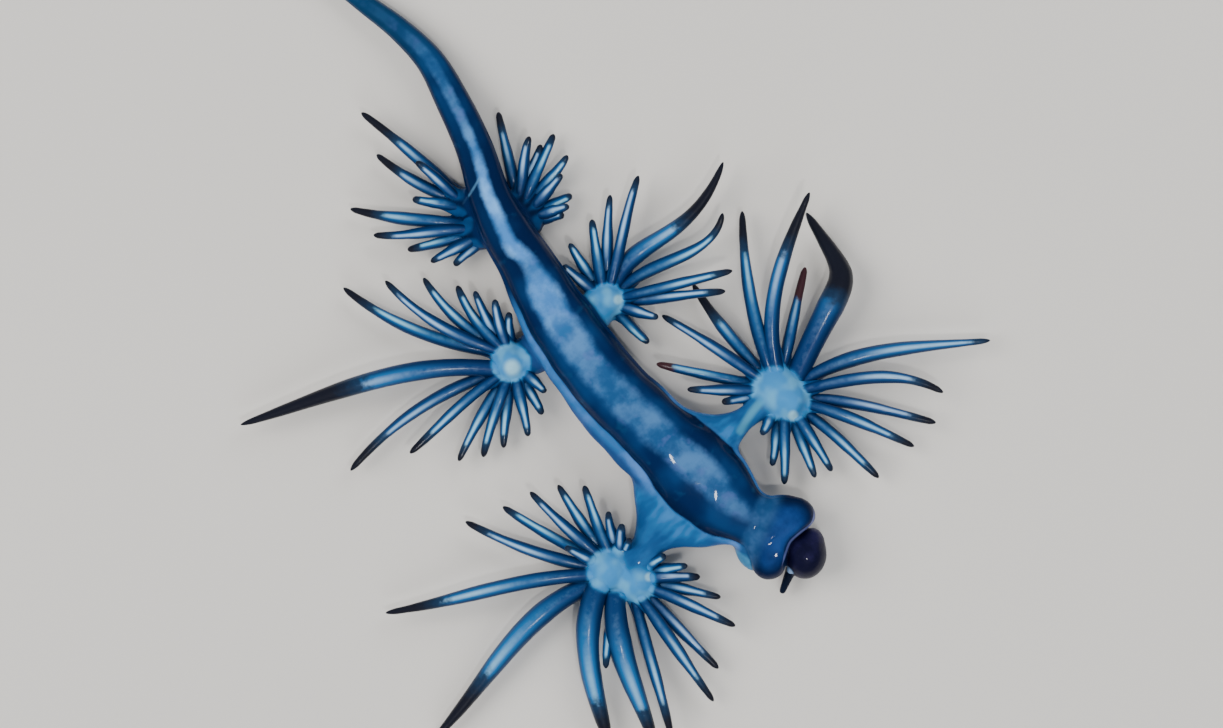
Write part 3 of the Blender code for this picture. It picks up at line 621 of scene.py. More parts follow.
# Columns of a fan's table of cerata that are read by themselves.
WIDTH, ROOT_HEIGHT, DARK_FROM, PALENESS = 3, 9, 10, 11
# A distance or share that counts as far away.
FAR = 9.0


def steps(bearings, reaches):
    """Steps of these reaches along these bearings in degrees, as x and y."""
    turn = np.radians(bearings)
    return np.stack([np.cos(turn), np.sin(turn)], axis=-1) * np.asarray(reaches)[..., None]


def between(ends, share):
    """The values at shares of the way from the first end to the last, where one number is both ends."""
    first, last = np.ravel(ends)[[0, -1]]
    return first + share * (last - first)


def spread_runs(fan):
    """One row for each ceras of a fan: tip bearing, reach, root bearing, width, the two turns and the two
    handles, tip height, root height, start of the dark tip, and paleness of the streak."""
    chance = np.random.default_rng(SEED)
    rows = []
    for count, bearings, reaches, roots, width, turns, height, dark, pale_streak in fan["runs"]:
        share = np.arange(count) / max(1, count - 1)
        placed = [between(ends, share) for ends in (bearings, reaches, roots)]
        lifted = height * (1 + HEIGHT_SPREAD * chance.uniform(-1, 1, count))
        bent, looks = (width, *turns[:2], *(turns[2:] or HANDLES)), (0.0, dark, pale_streak)
        rows.append(np.column_stack([*placed, np.tile(bent, (count, 1)), lifted, np.tile(looks, (count, 1))]))
    rows = np.concatenate(rows)
    rows[:, ROOT_HEIGHT] = fan["pad"][0][2] * np.resize(ROOT_SHARES, len(rows))
    return rows


for fan in FANS.values():
    fan["rows"] = spread_runs(fan)
print("cerata:", {name: len(fan["rows"]) for name, fan in FANS.items()})

# %% [markdown]
# A ceras leaves its root on one bearing and arrives at its tip on another. A cubic curve with two handles
# does just that, and every ceras of a fan is worked out in one array.
# %% The line of a ceras
CERAS_RISE = 0.16
CERAS_DROOP = 0.5


def ceras_lines(fan, at):
    """Points on every ceras: (1-t)^3 root + 3t(1-t)^2 first + 3t^2(1-t) second + t^3 tip, for each t in at.
    The two handles, first and second, lie along the bearings on which it leaves and arrives."""
    tip_to, reach, root_to, _, leave, arrive, *handles, tip_z, root_z = fan["rows"].T[:DARK_FROM]
    centre = np.array(fan["centre"])
    root = np.column_stack([centre + steps(root_to, ROOT_DEPTH + 0 * reach) * fan["rim"], root_z])
    tip = np.column_stack([centre + steps(tip_to, reach), tip_z])
    chord = np.linalg.norm(tip - root, axis=1)
    out, back = (handle * chord for handle in handles)
    first = root + np.column_stack([steps(tip_to + leave, out), CERAS_RISE * out])
    second = tip - np.column_stack([steps(tip_to + arrive, back), CERAS_DROOP * (tip_z - root_z)])
    t = np.asarray(at)[None, :, None]
    root, first, second, tip = (row[:, None, :] for row in (root, first, second, tip))
    return root * (1 - t) ** 3 + 3 * first * t * (1 - t) ** 2 + 3 * second * t**2 * (1 - t) + tip * t**3


print("first ceras's root:", np.round(ceras_lines(FANS["front_left"], [0.0])[0, 0], 2))

# %% [markdown]
# The field is worked out on a grid of boxes. The grid follows the curved middle line and shrinks towards
# the thin tail, so that every part has enough boxes across it. Small forms, such as the foot of a ceras,
# are worked out only on the boxes round them.
# %% The grid
# The head, the body and the tail along y, as (start, end, step).
GRID_PARTS = ((-14.5, -9.5, 0.075), (-9.5, 13.0, 0.11), (13.0, 28.2, 0.15))
GRID_X = np.arange(-10.5, 10.4, 0.09)
GRID_Y = np.concatenate([np.arange(*part) for part in GRID_PARTS])
GRID_Z = np.arange(-0.12, 3.9, 0.08)
# Where the grid shrinks, by how much across and up, and where it starts to follow the middle line.
SHRINK_AT, SHRINK_ACROSS, SHRINK_UP = (12.5, 17.0, 28.2), (1.0, 0.6, 0.12), (1.0, 0.72, 0.22)
LEAN_FROM = (11.0, 14.0)
shrink_x, shrink_z = (np.interp(GRID_Y, SHRINK_AT, size) for size in (SHRINK_ACROSS, SHRINK_UP))
lean = smooth_line(STATIONS, GRID_Y)[:, 1] * np.interp(GRID_Y, LEAN_FROM, (0.0, 1.0))
px = lean[None, :, None] + GRID_X[:, None, None] * shrink_x[None, :, None]
py = GRID_Y[None, :, None] + 0 * px
pz = GRID_Z[None, None, :] * shrink_z[None, :, None]
print("grid of", len(GRID_X), "by", len(GRID_Y), "by", len(GRID_Z))

# %% Fill the grid with the flesh
BODY_CREASE = 0.10
ARM_BLEND = 0.55
PAD_BLEND = 0.30
ROOT_BLEND = 0.16
HEAD_BLEND = 0.5
FINE_BLEND = 0.10
LOBE_BLEND = 0.20


def pad_share(x, y, name):
    """How far out of a fan's pale lobes a point is, seen from above: 1 on the rim of the nearest lobe. A pad
    without pale lobes counts as far away."""
    pale_lobes = FANS[name]["pad"][: PALE_LOBES.get(name, 0)]
    shares = [np.hypot((x - px) / rx, (y - py) / ry) for (px, py), (rx, ry), _ in pale_lobes]
    return np.min([np.full(np.shape(x), FAR), *shares], axis=0)


def pad_field(x, y, z, fan):
    """A pad: its lobes joined softly, each a ball that reaches up to its top."""
    field = np.inf
    for place, radii, top in fan["pad"]:
        half = LOBE_HALF_HEIGHT * top
        field = join(field, ball(x, y, z, (*place, top - half), (*radii, half)), LOBE_BLEND)
    return field


def near(place, reach):
    """The slices of the grid within a reach of a place, in the part where the grid is straight."""
    spans = zip((GRID_X, GRID_Y, GRID_Z), place)
    return tuple(slice(*np.searchsorted(axis, (middle - reach, middle + reach))) for axis, middle in spans)


def part_of(box):
    """The places of the points of the grid in these slices, as x, y and z."""
    return px[box[0], box[1]], py[box[0], box[1]], pz[:, box[1], box[2]]


section = [value[..., None] for value in along_the_body(px[..., 0], py[..., 0])]
foot, flank = body_fields(px, py, pz, section)
flesh = join(foot, flank, BODY_CREASE)
for name in ARMS:
    flesh = join(flesh, arm_field(px, py, pz, name), ARM_BLEND)
print("body and arms in the grid:", round(float((flesh < 0).mean()), 4), "of it is inside")

# %% [markdown]
# Each ceras grows out of its pad through a short thick foot, which the skin makes, so that no line shows
# where a ceras meets its pad.
# %% Pads and the feet of the cerata
FOOT_SHARES = np.linspace(0, 1, 60)
FOOT_FLAT = 1.5
# How far a foot is sunk below its ceras: this much, and this share of the width.
FOOT_SUNK = (0.06, 0.12)
# Its length: a share of the pad's rim, a fixed part and a share of the width, at most a share of the ceras.
FOOT_LENGTH = (0.38, 1.1, 0.5, 0.5)
# Its radius at the root: the least, and a share of the width. Its radius at the end, as a share of the width.
FOOT_RADII = (0.46, 0.44, 0.36)
# The least width that counts for a foot, and the most that counts at the root.
FOOT_WIDTHS = (0.5, 1.1)
# How far round a place the boxes are worked out: a fan's middle, and the head's.
FAN_REACH, HEAD_REACH = 4.2, ((1.2, -11.8, 1.3), 4.0)


def ceras_feet(fan):
    """Start, end and two radii of each ceras's foot: from its root to some way beyond the pad's rim."""
    lines = ceras_lines(fan, FOOT_SHARES)
    lines[..., 2] -= FOOT_SUNK[0] + FOOT_SUNK[1] * fan["rows"][:, WIDTH, None]
    gone = np.linalg.norm(np.diff(lines, axis=1), axis=2).cumsum(axis=1)
    width = np.maximum(fan["rows"][:, WIDTH], FOOT_WIDTHS[0])
    of_rim, fixed, of_width, of_ceras = FOOT_LENGTH
    length = np.minimum(of_rim * max(fan["rim"]) + fixed + of_width * width, of_ceras * gone[:, -1])
    end = 1 + (gone < length[:, None]).sum(axis=1)
    least, thick, thin = FOOT_RADII
    radii = np.maximum(least, thick * np.minimum(width, FOOT_WIDTHS[1])), thin * width
    return lines[:, 0], lines[np.arange(len(lines)), end], *radii


for fan in FANS.values():
    box = near((*fan["centre"], 1.0), FAN_REACH)
    field = pad_field(*part_of(box), fan)
    for start, end, thick, thin in zip(*ceras_feet(fan)):
        field = join(field, rod(*part_of(box), start, end, thick, thin, FOOT_FLAT), ROOT_BLEND)
    flesh[box] = join(flesh[box], field, PAD_BLEND)
print("pads in the grid:", round(float((flesh < 0).mean()), 4), "of it is inside")

# %% Head, mouth and feelers
box = near(*HEAD_REACH)
here = part_of(box)
head = join(cap_field(*here), ball(*here, *HEAD_FLAP), FINE_BLEND)
flesh[box] = join(flesh[box], head, HEAD_BLEND)
forms = [mouth_field(*here), ball(*here, *MOUTH_KNOB)]
for start, end, width in FEELERS:
    end = np.array(end) + FEELER_BLUNT * (np.array(start) - end) / math.dist(start, end)
    forms.append(rod(*here, start, end, width / 2, FEELER_BLUNT))
for form in forms:
    flesh[box] = join(flesh[box], form, FINE_BLEND)
flesh = np.maximum(flesh, -pz)
print("all the flesh:", round(float((flesh < 0).mean()), 4), "of the grid is inside")

# %% [markdown]
# A surface net turns the field into a mesh. Every box that the surface passes through gets one point, at
# the middle of the places where its edges cross zero. Every edge of the grid that crosses zero gets one
# face, which joins the points of the four boxes round it.
# %% Surface net


def surface_net(field):
    """Points, in steps of the grid, and faces of the surface where the field is zero."""
    inside = (field < 0).astype(np.int8)
    corners = [(i, j, k) for i in (0, 1) for j in (0, 1) for k in (0, 1)]
    a, b, c = shape = np.array(field.shape) - 1
    full = sum(inside[i : i + a, j : j + b, k : k + c] for i, j, k in corners)
    cells = np.nonzero((full > 0) & (full < len(corners)))
    total, count = np.zeros((len(cells[0]), 3)), np.zeros(len(cells[0]))
    edges = [(first, axis) for first in corners for axis in range(3) if not first[axis]]
    for first, axis in edges:
        second = tuple(d + (n == axis) for n, d in enumerate(first))
        low, high = (field[tuple(c + d for c, d in zip(cells, corner))] for corner in (first, second))
        crosses = (low < 0) != (high < 0)
        place = np.tile(np.array(first, float), (len(low), 1))
        place[:, axis] += low / np.where(crosses, low - high, 1)
        total += place * crosses[:, None]
        count += crosses
    points = np.stack(cells, axis=1) + total / count[:, None]
    index = np.full(shape, -1, np.int32)
    index[cells] = np.arange(len(points))
    faces = []
    for axis in range(3):
        u, v = (axis + 1) % 3, (axis + 2) % 3
        back = np.zeros((3, 4, 1), int)
        back[u, :, 0], back[v, :, 0] = (1, 0, 0, 1), (1, 1, 0, 0)
        change = np.diff(inside, axis=axis)
        for found, turn in ((change < 0, 1), (change > 0, -1)):
            edge = np.array(np.nonzero(found))
            edge = edge[:, (edge[u] > 0) & (edge[v] > 0)]
            ring = index[tuple(edge[:, None] - back)]
            faces.append(ring[::turn].T)
    return points, np.concatenate(faces)


def read(at, values):
    """The values along one side of the grid, read at these steps."""
    return np.interp(at, np.arange(len(values)), values)


net, skin_faces = surface_net(flesh)
x_at, y_at, z_at = net.T
x = read(y_at, lean) + read(x_at, GRID_X) * read(y_at, shrink_x)
y, z = read(y_at, GRID_Y), np.maximum(read(z_at, GRID_Z) * read(y_at, shrink_z), 0)
skin = np.column_stack([x, y, z])
print("skin:", len(skin), "points and", len(skin_faces), "faces, none open:", bool((skin_faces >= 0).all()))

# %% [markdown]
# The markings follow the animal, so each point of the skin carries what it needs to be coloured: where it
# lies across the foot and along it, how near it is to a line or a bright place, and how much it belongs to
# the foot, an arm, a pad, the head's cap, the mouth, its knob, a feeler or the flap.
# %% Marks of the skin
# (place along the body, half width of the silver band, its brightness, how far it lies to the right)
SILVER = (
    (-11.0, 0.20, 0.0, 0.0),
    (-9.4, 0.40, 0.30, 0.15),
    (-8.2, 0.62, 0.42, 0.20),
    (-6.4, 0.78, 0.48, 0.25),
    (-4.5, 0.76, 0.46, 0.25),
    (-1.5, 0.74, 0.50, 0.18),
    (0.5, 0.76, 0.54, 0.08),
    (2.8, 0.76, 0.60, 0.0),
    (5.9, 0.66, 0.74, 0.05),
    (7.0, 0.40, 0.66, 0.12),
    (8.0, 0.40, 0.95, -0.12),
    (9.6, 0.34, 1.00, -0.08),
    (13.2, 0.22, 0.68, 0.0),
    (18.2, 0.28, 0.26, 0.0),
    (24.0, 0.20, 0.06, 0.0),
    (28.0, 0.10, 0.0, 0.0),
)
# Painted highlights, small bright places on the pads: place across x, place along y, size.
PAD_HIGHLIGHTS = ((5.60, -7.36, 0.30), (-5.13, -8.72, 0.26), (-3.42, 3.66, 0.48), (2.80, 2.75, 0.28))
# The band's soft edges are narrower where half the foot is narrower than this.
LOOSE_FOOT = 1.7
# Lines seen from above: a pale vein across the foot, a pale ridge on the right arm, and the cap's lilac rim,
# which fades over a short way at both ends.
VEIN = ((0.0, 11.45), (0.8, 11.62), (1.55, 11.86))
RIDGE = ((4.95, -5.75), (4.10, -5.90), (3.10, -6.20))
RIM_LINE = (
    ((3.28, -11.25), (3.26, -11.63), (2.78, -12.02), (1.98, -11.99), (1.35, -12.02))
    + ((0.86, -12.26), (0.37, -12.56), (0.12, -12.74))
)
RIM_FADE = (0.08, 0.7)
# Where two feet of cerata are about equally near, to within this, they meet in a crease, darkened with painted
# shade.
CREASE = 0.24
# How far from a fan's middle the feet of its cerata are looked for.
FEET_REACH = 4.5
SIDE_MOST = 4.0


def belongs(own, soft, *others):
    """From 0 to 1, how much a point's surface is that of its own field rather than of the others."""
    rest = np.minimum.reduce(others)
    return np.clip(0.5 + (rest - own) / soft, 0, 1) * np.clip((0.5 - own) / 0.1, 0, 1)


def line_distance(x, y, places, count=200):
    """The distance seen from above to a smooth open line through the places."""
    line = line_through(places, np.linspace(0, len(places) - 1, count))
    return np.sqrt(((np.stack([x, y], axis=1)[:, None, :] - line[None]) ** 2).sum(axis=2)).min(axis=1)


s, o = along_the_body(x, y)
foot_at, flank_at = body_fields(x, y, z, (s, o))
arms_at = np.minimum(arm_field(x, y, z, "left"), arm_field(x, y, z, "right"))
cap_at, mouth_at = cap_field(x, y, z), mouth_field(x, y, z)
flap_at, knob_at = ball(x, y, z, *HEAD_FLAP), ball(x, y, z, *MOUTH_KNOB)
rods = [rod(x, y, z, start, end, width / 2, FEELER_BLUNT) for start, end, width in FEELERS]
feelers_at = np.min(rods, axis=0)
pads_at = np.min([pad_field(x, y, z, fan) for fan in FANS.values()], axis=0)
feet_at, next_at = np.full((2, len(x)), FAR)
for fan in FANS.values():
    here = np.hypot(x - fan["centre"][0], y - fan["centre"][1]) < FEET_REACH
    rods = [rod(x[here], y[here], z[here], *foot_of, FOOT_FLAT) for foot_of in zip(*ceras_feet(fan))]
    feet_at[here], next_at[here] = np.sort([feet_at[here], next_at[here], *rods], axis=0)[:2]
rim_share = np.min([pad_share(x, y, name) for name in FANS], axis=0)
band = smooth_line(SILVER, s)
half_foot = smooth_line(STATIONS, s)[:, 2]
trim = read_table(FOOT_TRIM, s) / 2
body_at = np.minimum(foot_at, flank_at)
limb_at = np.minimum(body_at, arms_at)
rim_end = np.min([np.hypot(x - RIM_LINE[end][0], y - RIM_LINE[end][1]) for end in (0, -1)], axis=0)
# The field that a mark is for, how soft its edge is in millimetres, and the fields round it.
OWNERS = {
    "foot": (foot_at, 0.10, flank_at, arms_at, cap_at + 0.3),
    "arm": (arms_at, 0.50, body_at),
    "pad": (np.minimum(pads_at, feet_at), 0.40, limb_at),
    "feet": (feet_at, 0.30, limb_at + 0.1),
    "cap": (cap_at, 0.35, body_at),
    "mouth": (mouth_at, 0.06, cap_at),
    "feeler": (feelers_at, 0.06, cap_at, mouth_at, flap_at),
    "knob": (knob_at, 0.06, cap_at, mouth_at, feelers_at),
    "flap": (flap_at, 0.20, cap_at, mouth_at, body_at),
}
marks = {
    **{key: belongs(*row) for key, row in OWNERS.items()},
    "across": (o - trim) / (half_foot - trim),
    "place": s,
    "band": (band[:, 1] - np.abs(o - band[:, 3])) / np.clip(half_foot / LOOSE_FOOT, 0.3, 1),
    "bright": band[:, 2],
    "crease_shade": np.clip(1 - (next_at - feet_at) / CREASE, 0, 1),
    "pad_highlight": np.max([np.exp(-((x - gx) ** 2 + (y - gy) ** 2) / size**2) for gx, gy, size in PAD_HIGHLIGHTS], axis=0),
    "nape": y - 0.5 * x,
    "vein": line_distance(x, y, VEIN),
    "ridge": line_distance(x, y, RIDGE),
    "rim_share": rim_share,
    "cap_share": head_share(x, y)[0],
    "rim_line": line_distance(x, y, RIM_LINE) + RIM_FADE[0] * np.clip(1 - rim_end / RIM_FADE[1], 0, 1),
    "side": np.clip(o, -SIDE_MOST, SIDE_MOST),
    "height": z,
}
print("marks:", ", ".join(marks))

# %% Make the skin's mesh


def make_piece(name, points, faces, marks, recipe, nodes):
    """A shown piece: its mesh in the solids' frame, its marks, its material, and the nodes it stands for."""
    mesh = bpy.data.meshes.new(name)
    mesh.from_pydata(((points + SHIFT) * MM).tolist(), [], faces)
    mesh.polygons.foreach_set("use_smooth", np.ones(len(mesh.polygons), bool))
    for key, values in marks.items():
        mesh.attributes.new(key, "FLOAT", "POINT").data.foreach_set("value", np.asarray(values, np.float32))
    mesh.materials.append(recipe.material)
    made = bpy.data.objects.new(name, mesh)
    bpy.context.scene.collection.objects.link(made)
    mesh.update()
    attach(made, "root")
    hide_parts(*nodes)
    return made


# %% [markdown]
# Pads and cerata share one run of colours by the distance from the pad's middle: pale on the pad, darker
# blue beyond its rim. Where a ceras comes out of the skin, both have the same colour.
# %% Colours of the pads and roots
PAD_PALE = (56, 136, 198)
PAD_MIST = (90, 166, 212)
ROOT_BLUE = (10, 64, 114)
# The darkest blue: painted shade in the creases between the feet of cerata.
CREASE_SHADE_TINT = (2, 22, 56)


def root_colour(recipe, share, cloud, grain):
    """Pale inside the pad's uneven rim, and teal blue on the roots beyond it."""
    ragged = share + (grain - 0.5) * 0.18
    inner = recipe.mix(cloud.rise(0.4, 0.7), PAD_PALE, PAD_MIST)
    return recipe.mix(ragged.rise(0.84, 1.10), inner, ROOT_BLUE)


# %% [markdown]
# The skin is wet and smooth, with a soft mottling. The foot is navy at both edges, with a silver-blue band
# along its middle that is narrow and bright towards the tail and wide, cloudy and grey-lilac towards the
# head. The flank and the arms are a lighter, milky blue.
# %% The skin's material, and its foot
wet = Recipe("wet_skin", Coat_Roughness=0.05, Coat_Weight=0.24, Specular_IOR_Level=0.08)
across, place, band_mark, bright = (wet.mark(key) for key in ("across", "place", "band", "bright"))
cloud = wet.noise(1.6, 4.0, 0.55)
grain = wet.noise(0.35, 3.0, 0.6)
fleck = wet.noise(0.7, 2.0, 0.5)
wobble = (cloud - 0.5) * 0.9 + (grain - 0.5) * 0.35

tail_base = place.rise(4.5, 8.0) * (1 - place.rise(13.0, 17.5))
edge_tint = wet.paint(
    wet.mix(wet.noise(2.5, 2.0).rise(0.35, 0.65), (3, 30, 72), (10, 54, 102)),
    (abs(across).rise(0.66, 1.0), (2, 20, 54)),
    (tail_base * 0.65, (2, 20, 56)),
    (fleck.rise(0.60, 0.80) * 0.4, (14, 70, 112)),
    (place.rise(15.0, 22.0) * 0.7, (12, 56, 88)),
)
band_dull = wet.mix(cloud.rise(0.36, 0.66), (30, 76, 126), (72, 120, 172))
band_clear = wet.mix(cloud.rise(0.35, 0.7), (70, 134, 206), (118, 184, 252))
band_tint = wet.paint(
    band_dull,
    (fleck.rise(0.56, 0.74) * 0.6, (80, 104, 166)),
    (bright.rise(0.5, 0.85), band_clear),
)
band_share = (band_mark + wobble * 0.55).rise(-0.26, 0.36) * bright.rise(0.0, 0.5)
vein = (1 - wet.mark("vein").rise(0.02, 0.09)) * 0.45
foot_tint = wet.paint(edge_tint, (band_share, band_tint), (vein, (96, 150, 192)))
print("colours of the foot:", len(wet.nodes), "nodes")

# %% The flank, the arms and the pads
side, height = wet.mark("side"), wet.mark("height")
flank_left = (1 - place.rise(4.6, 6.6)) * (1 - side.rise(-0.4, 0.4))
flank_right = (1 - place.rise(-3.2, -1.2)) * side.rise(-0.4, 0.4) * 0.8
flank_tint = wet.paint(
    (14, 52, 100),
    (height.rise(0.5, 2.0), wet.mix(cloud.rise(0.4, 0.7), (50, 108, 172), (84, 134, 204))),
    (abs(across).rise(1.10, 1.32) * 0.7, (16, 34, 84)),
    (1 - flank_left - flank_right, (4, 32, 74)),
)
fold = wet.noise(0.9, 2.0, 0.45, stretch=(0.5, 1.4, 1.0), turn=20.0)
ridge = (1 - wet.mark("ridge").rise(0.05, 0.32)) * (0.5 + 0.5 * fold)
arm_tint = wet.paint(
    wet.mix(fold.rise(0.36, 0.66), (26, 84, 140), (56, 122, 184)),
    (wet.noise(1.1).rise(0.56, 0.78) * 0.55, (14, 58, 108)),
    # Painted shade: darker towards the arm's outer part, where its fold lies in shade.
    (abs(side).rise(2.5, 3.6) * 0.6, (14, 62, 114)),
    (ridge * 0.8, (84, 164, 194)),
)
limb = wet.mix(wet.mark("arm"), flank_tint, arm_tint)
share, crease_shade = wet.mark("rim_share"), wet.mark("crease_shade")
pads = root_colour(wet, share - (1 - crease_shade) * 0.10, wet.noise(0.9, 1.0), grain)
# Painted shade: beyond the pad's rim, the crease between two feet of cerata is darkened.
pads = wet.mix((share - 0.25 * crease_shade).rise(0.80, 1.08) * crease_shade.rise(0.15, 0.9), pads, CREASE_SHADE_TINT)
outer = wet.mix(wet.mark("feet"), limb, pads)
# Painted highlights: small bright places on the pads.
pad_highlight = wet.mark("pad_highlight").rise(0.25, 0.85) * 0.85
pads = wet.paint(pads, (share.rise(1.04, 1.22), outer), (pad_highlight, (158, 218, 238)))
print("colours of the foot, flank, arms and pads:", len(wet.nodes), "nodes")

# %% The head, and the whole skin
cap_tint = wet.mix(cloud.rise(0.35, 0.7), (10, 40, 90), (24, 64, 124))
cap_tint = wet.mix(wet.mark("cap_share").rise(0.58, 0.92), cap_tint, (4, 20, 54))
nape = wet.mark("nape") + (cloud - 0.5) * 0.6
nape = (1 - nape.rise(-10.45, -9.95)) * nape.rise(-11.7, -10.9) * height.rise(1.6, 2.2)
lilac = (1 - wet.mark("rim_line").rise(0.02, 0.085)) * height.rise(0.9, 1.4)
body = wet.paint(
    limb,
    (wet.mark("pad"), pads),
    (wet.mark("foot"), foot_tint),
    (wet.mark("cap"), cap_tint),
    (nape * 0.9, wet.mix(fleck.rise(0.35, 0.7), (24, 66, 112), (50, 88, 134))),
    (wet.mark("flap"), wet.mix(cloud.rise(0.4, 0.7), (44, 106, 150), (72, 138, 180))),
    (wet.mark("mouth"), wet.mix(cloud.rise(0.4, 0.7), (14, 14, 40), (34, 30, 70))),
    (wet.mark("feeler"), (10, 20, 40)),
    (wet.mark("knob"), (126, 158, 200)),
    (lilac * 0.85, (100, 110, 166)),
)
wet.feed("Base Color", body)
wet.feed("Roughness", 0.34 + grain * 0.2)
relief = wet.node(
    "ShaderNodeBump",
    sockets={"Strength": 0.35, "Distance": 0.05 * MM, "Height": grain + wet.noise(0.12, 2.0) * 0.5},
)
wet.feed("Normal", relief)
SKIN_NODES = [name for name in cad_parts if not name.startswith("cerata")]
make_piece("skin", skin, skin_faces.tolist(), marks, wet, SKIN_NODES)
print("skin stands for", len(SKIN_NODES), "nodes")

# %% [markdown]
# A ceras is a soft finger, a little flatter than round, that tapers to a point. Its back is dark teal at the
# root, with a pale silvery streak on its upper side that is brightest before the tip, dark edges, and a
# black-navy tip. The streak is partly its own silver and partly a painted highlight. Each fan is one mesh,
# worked out as one array: cerata, rings along each, points round each ring.
# %% Shape of the cerata
RINGS = 44
SIDES = 14
# A ceras's width along it, as (share of its length, share of its width), and the least in millimetres.
TAPER = ((0.0, 0.85), (0.3, 1.0), (0.6, 0.86), (0.85, 0.56), (0.96, 0.34), (1.0, 0.25))
LEAST = ((0.0, 0.36), (0.4, 0.42), (0.85, 0.38), (0.95, 0.31), (1.0, 0.24))
# A slim ceras is fuller by this many millimetres, most of all before its middle.
FULLER = ((0.0, 0.0), (0.25, 0.09), (0.55, 0.13), (0.8, 0.05), (1.0, 0.0))
SLIM, STOUT = 0.60, 0.95
# A wave along the width: its height, its turn along the length, and its turn from one ceras to the next.
WAVE = (0.05, 7.0, 2.4)
FLATNESS = 0.86
LOOK_AHEAD = 0.01
# The last part of the length, which closes to a blunt tip.
BLUNT = 0.05
POINTS_EACH = RINGS * SIDES + 2
ANGLES = np.arange(SIDES) * 2 * math.pi / SIDES


def stoutness(fan):
    """From 0 for a slim ceras to 1 for a stout one."""
    return np.clip((fan["rows"][:, WIDTH] - SLIM) / (STOUT - SLIM), 0, 1)


def ceras_points(fan, rows_at):
    """Rings round every ceras: the line plus cos(angle) half widths sideways and sin(angle) half depths up.
    The half depth is a little less than the half width."""
    lines = ceras_lines(fan, rows_at)
    run = ceras_lines(fan, rows_at + LOOK_AHEAD) - lines
    run /= np.linalg.norm(run, axis=2)[..., None]
    side = np.cross(run, [0.0, 0.0, 1.0])
    side /= np.linalg.norm(side, axis=2)[..., None]
    over = np.cross(side, run)
    share, least, fuller = (read_table(table, rows_at) for table in (TAPER, LEAST, FULLER))
    end = np.sqrt(np.clip(1 - ((rows_at - 1 + BLUNT) / BLUNT).clip(0) ** 2, 0.06, 1))
    fuller = fuller * (1 - stoutness(fan))[:, None]
    height, along, on = WAVE
    wave = 1 + height * np.sin(rows_at * along + np.arange(len(lines))[:, None] * on)
    full = np.maximum(fan["rows"][:, WIDTH, None] * share, least) + fuller
    wide = (full * wave * end / 2)[..., None, None]
    around, above = np.cos(ANGLES)[:, None], np.sin(ANGLES)[:, None]
    ring = around * wide * side[:, :, None] + above * (wide * FLATNESS) * over[:, :, None]
    return lines[:, :, None] + ring, ceras_lines(fan, [1.0])[:, 0], lines[:, 0]


def tube_faces(count):
    """Faces of one tube after another, with a fan at the root and one at the tip, and their map places."""
    ring, side = np.meshgrid(np.arange(RINGS - 1), np.arange(SIDES), indexing="ij")
    ring, side, after = ring.ravel(), side.ravel(), (side.ravel() + 1) % SIDES
    here, beyond = ring * SIDES, (ring + 1) * SIDES
    quads = np.stack([here + side, here + after, beyond + after, beyond + side], 1)
    around = np.stack([side, side + 1, side + 1, side], 1) / SIDES
    along = np.stack([ring, ring, ring + 1, ring + 1], 1) / (RINGS + 1) + 1 / (RINGS + 1)
    spot = np.arange(SIDES)
    last = (RINGS - 1) * SIDES
    tip = np.stack([last + spot, last + (spot + 1) % SIDES, np.full(SIDES, RINGS * SIDES)], 1)
    root = np.stack([(spot + 1) % SIDES, spot, np.full(SIDES, RINGS * SIDES + 1)], 1)
    tri_around = np.concatenate([spot[:, None] + turn for turn in ((0, 1, 0.5), (1, 0, 0.5))])
    tri_along = np.repeat([[RINGS, RINGS, RINGS + 1], [1, 1, 0]], SIDES, axis=0) / (RINGS + 1)
    step = (np.arange(count) * POINTS_EACH)[:, None, None]
    tris = np.concatenate([tip, root])
    return quads + step, tris + step, (around, along), (tri_around / SIDES, tri_along)


print("a ceras has", POINTS_EACH, "points")

# %% [markdown]
# The colours of a ceras follow its own length and width, so they read the marks that its points carry.
# %% The material of the cerata
finger = Recipe("cerata", Coat_Roughness=0.15, Coat_Weight=0.3, Specular_IOR_Level=0.2)
t, out, up = finger.mark("along"), finger.mark("out"), finger.mark("up")
dark, streak, shade, stout = (finger.mark(key) for key in ("dark", "pale", "shade", "stout"))
grain = finger.noise(0.3, 3.0, 0.55)
speck = grain - 0.5
aside = out + (shade - 0.5) * 0.5
edge = abs(aside).rise(0.36, 0.92)
# The pale streak on a ceras's upper side is partly its own silver and partly a painted highlight.
middle = (1 - abs(aside).rise(0.05, 0.50)) * up.rise(-0.1, 0.6)
start = t + (shade - 0.5) * 0.12
streak_and_highlight = middle * (0.12 * start.rise(0.05, 0.3) + 0.88 * start.rise(0.34, 0.60)) * (0.3 + streak * 0.7)
reach = t - dark + speck * 0.10
tip = finger.mix(reach.rise(0.0, 0.16), (22, 50, 80), (20, 22, 34))
tip = finger.mix(finger.mark("rust"), tip, (58, 32, 38))
base = finger.paint(
    finger.mix(t.rise(0.0, 0.6), (8, 50, 96), (20, 86, 144)),
    (shade * 0.5, (8, 40, 92)),
    (stout * t.rise(0.15, 0.6) * 0.8, (40, 116, 180)),
    (edge * 0.85, (4, 32, 70)),
    (streak_and_highlight + speck * 0.3 * middle, finger.mix(shade, (142, 212, 240), (160, 194, 232))),
    (reach.rise(-0.03, 0.04), tip),
)
share = finger.mark("rim_share")
roots = root_colour(finger, share, finger.noise(0.9, 1.0), grain)
base = finger.mix((share + speck * 0.15).rise(0.92, 1.16), roots, base)
finger.feed("Base Color", base)
finger.feed("Roughness", 0.36 + grain * 0.16)
bumps = finger.node("ShaderNodeBump", sockets={"Strength": 0.3, "Distance": 0.04 * MM, "Height": grain})
finger.feed("Normal", bumps)
print("material of the cerata:", len(finger.nodes), "nodes")

# %% Make the six fans
# The cerata whose tips are rusty, by their places in their fan.
RUSTY = {"front_right": (0, 6)}
# The rings stand closer together near the tip, and the last one stands a little before it.
TIP_RINGS = 8
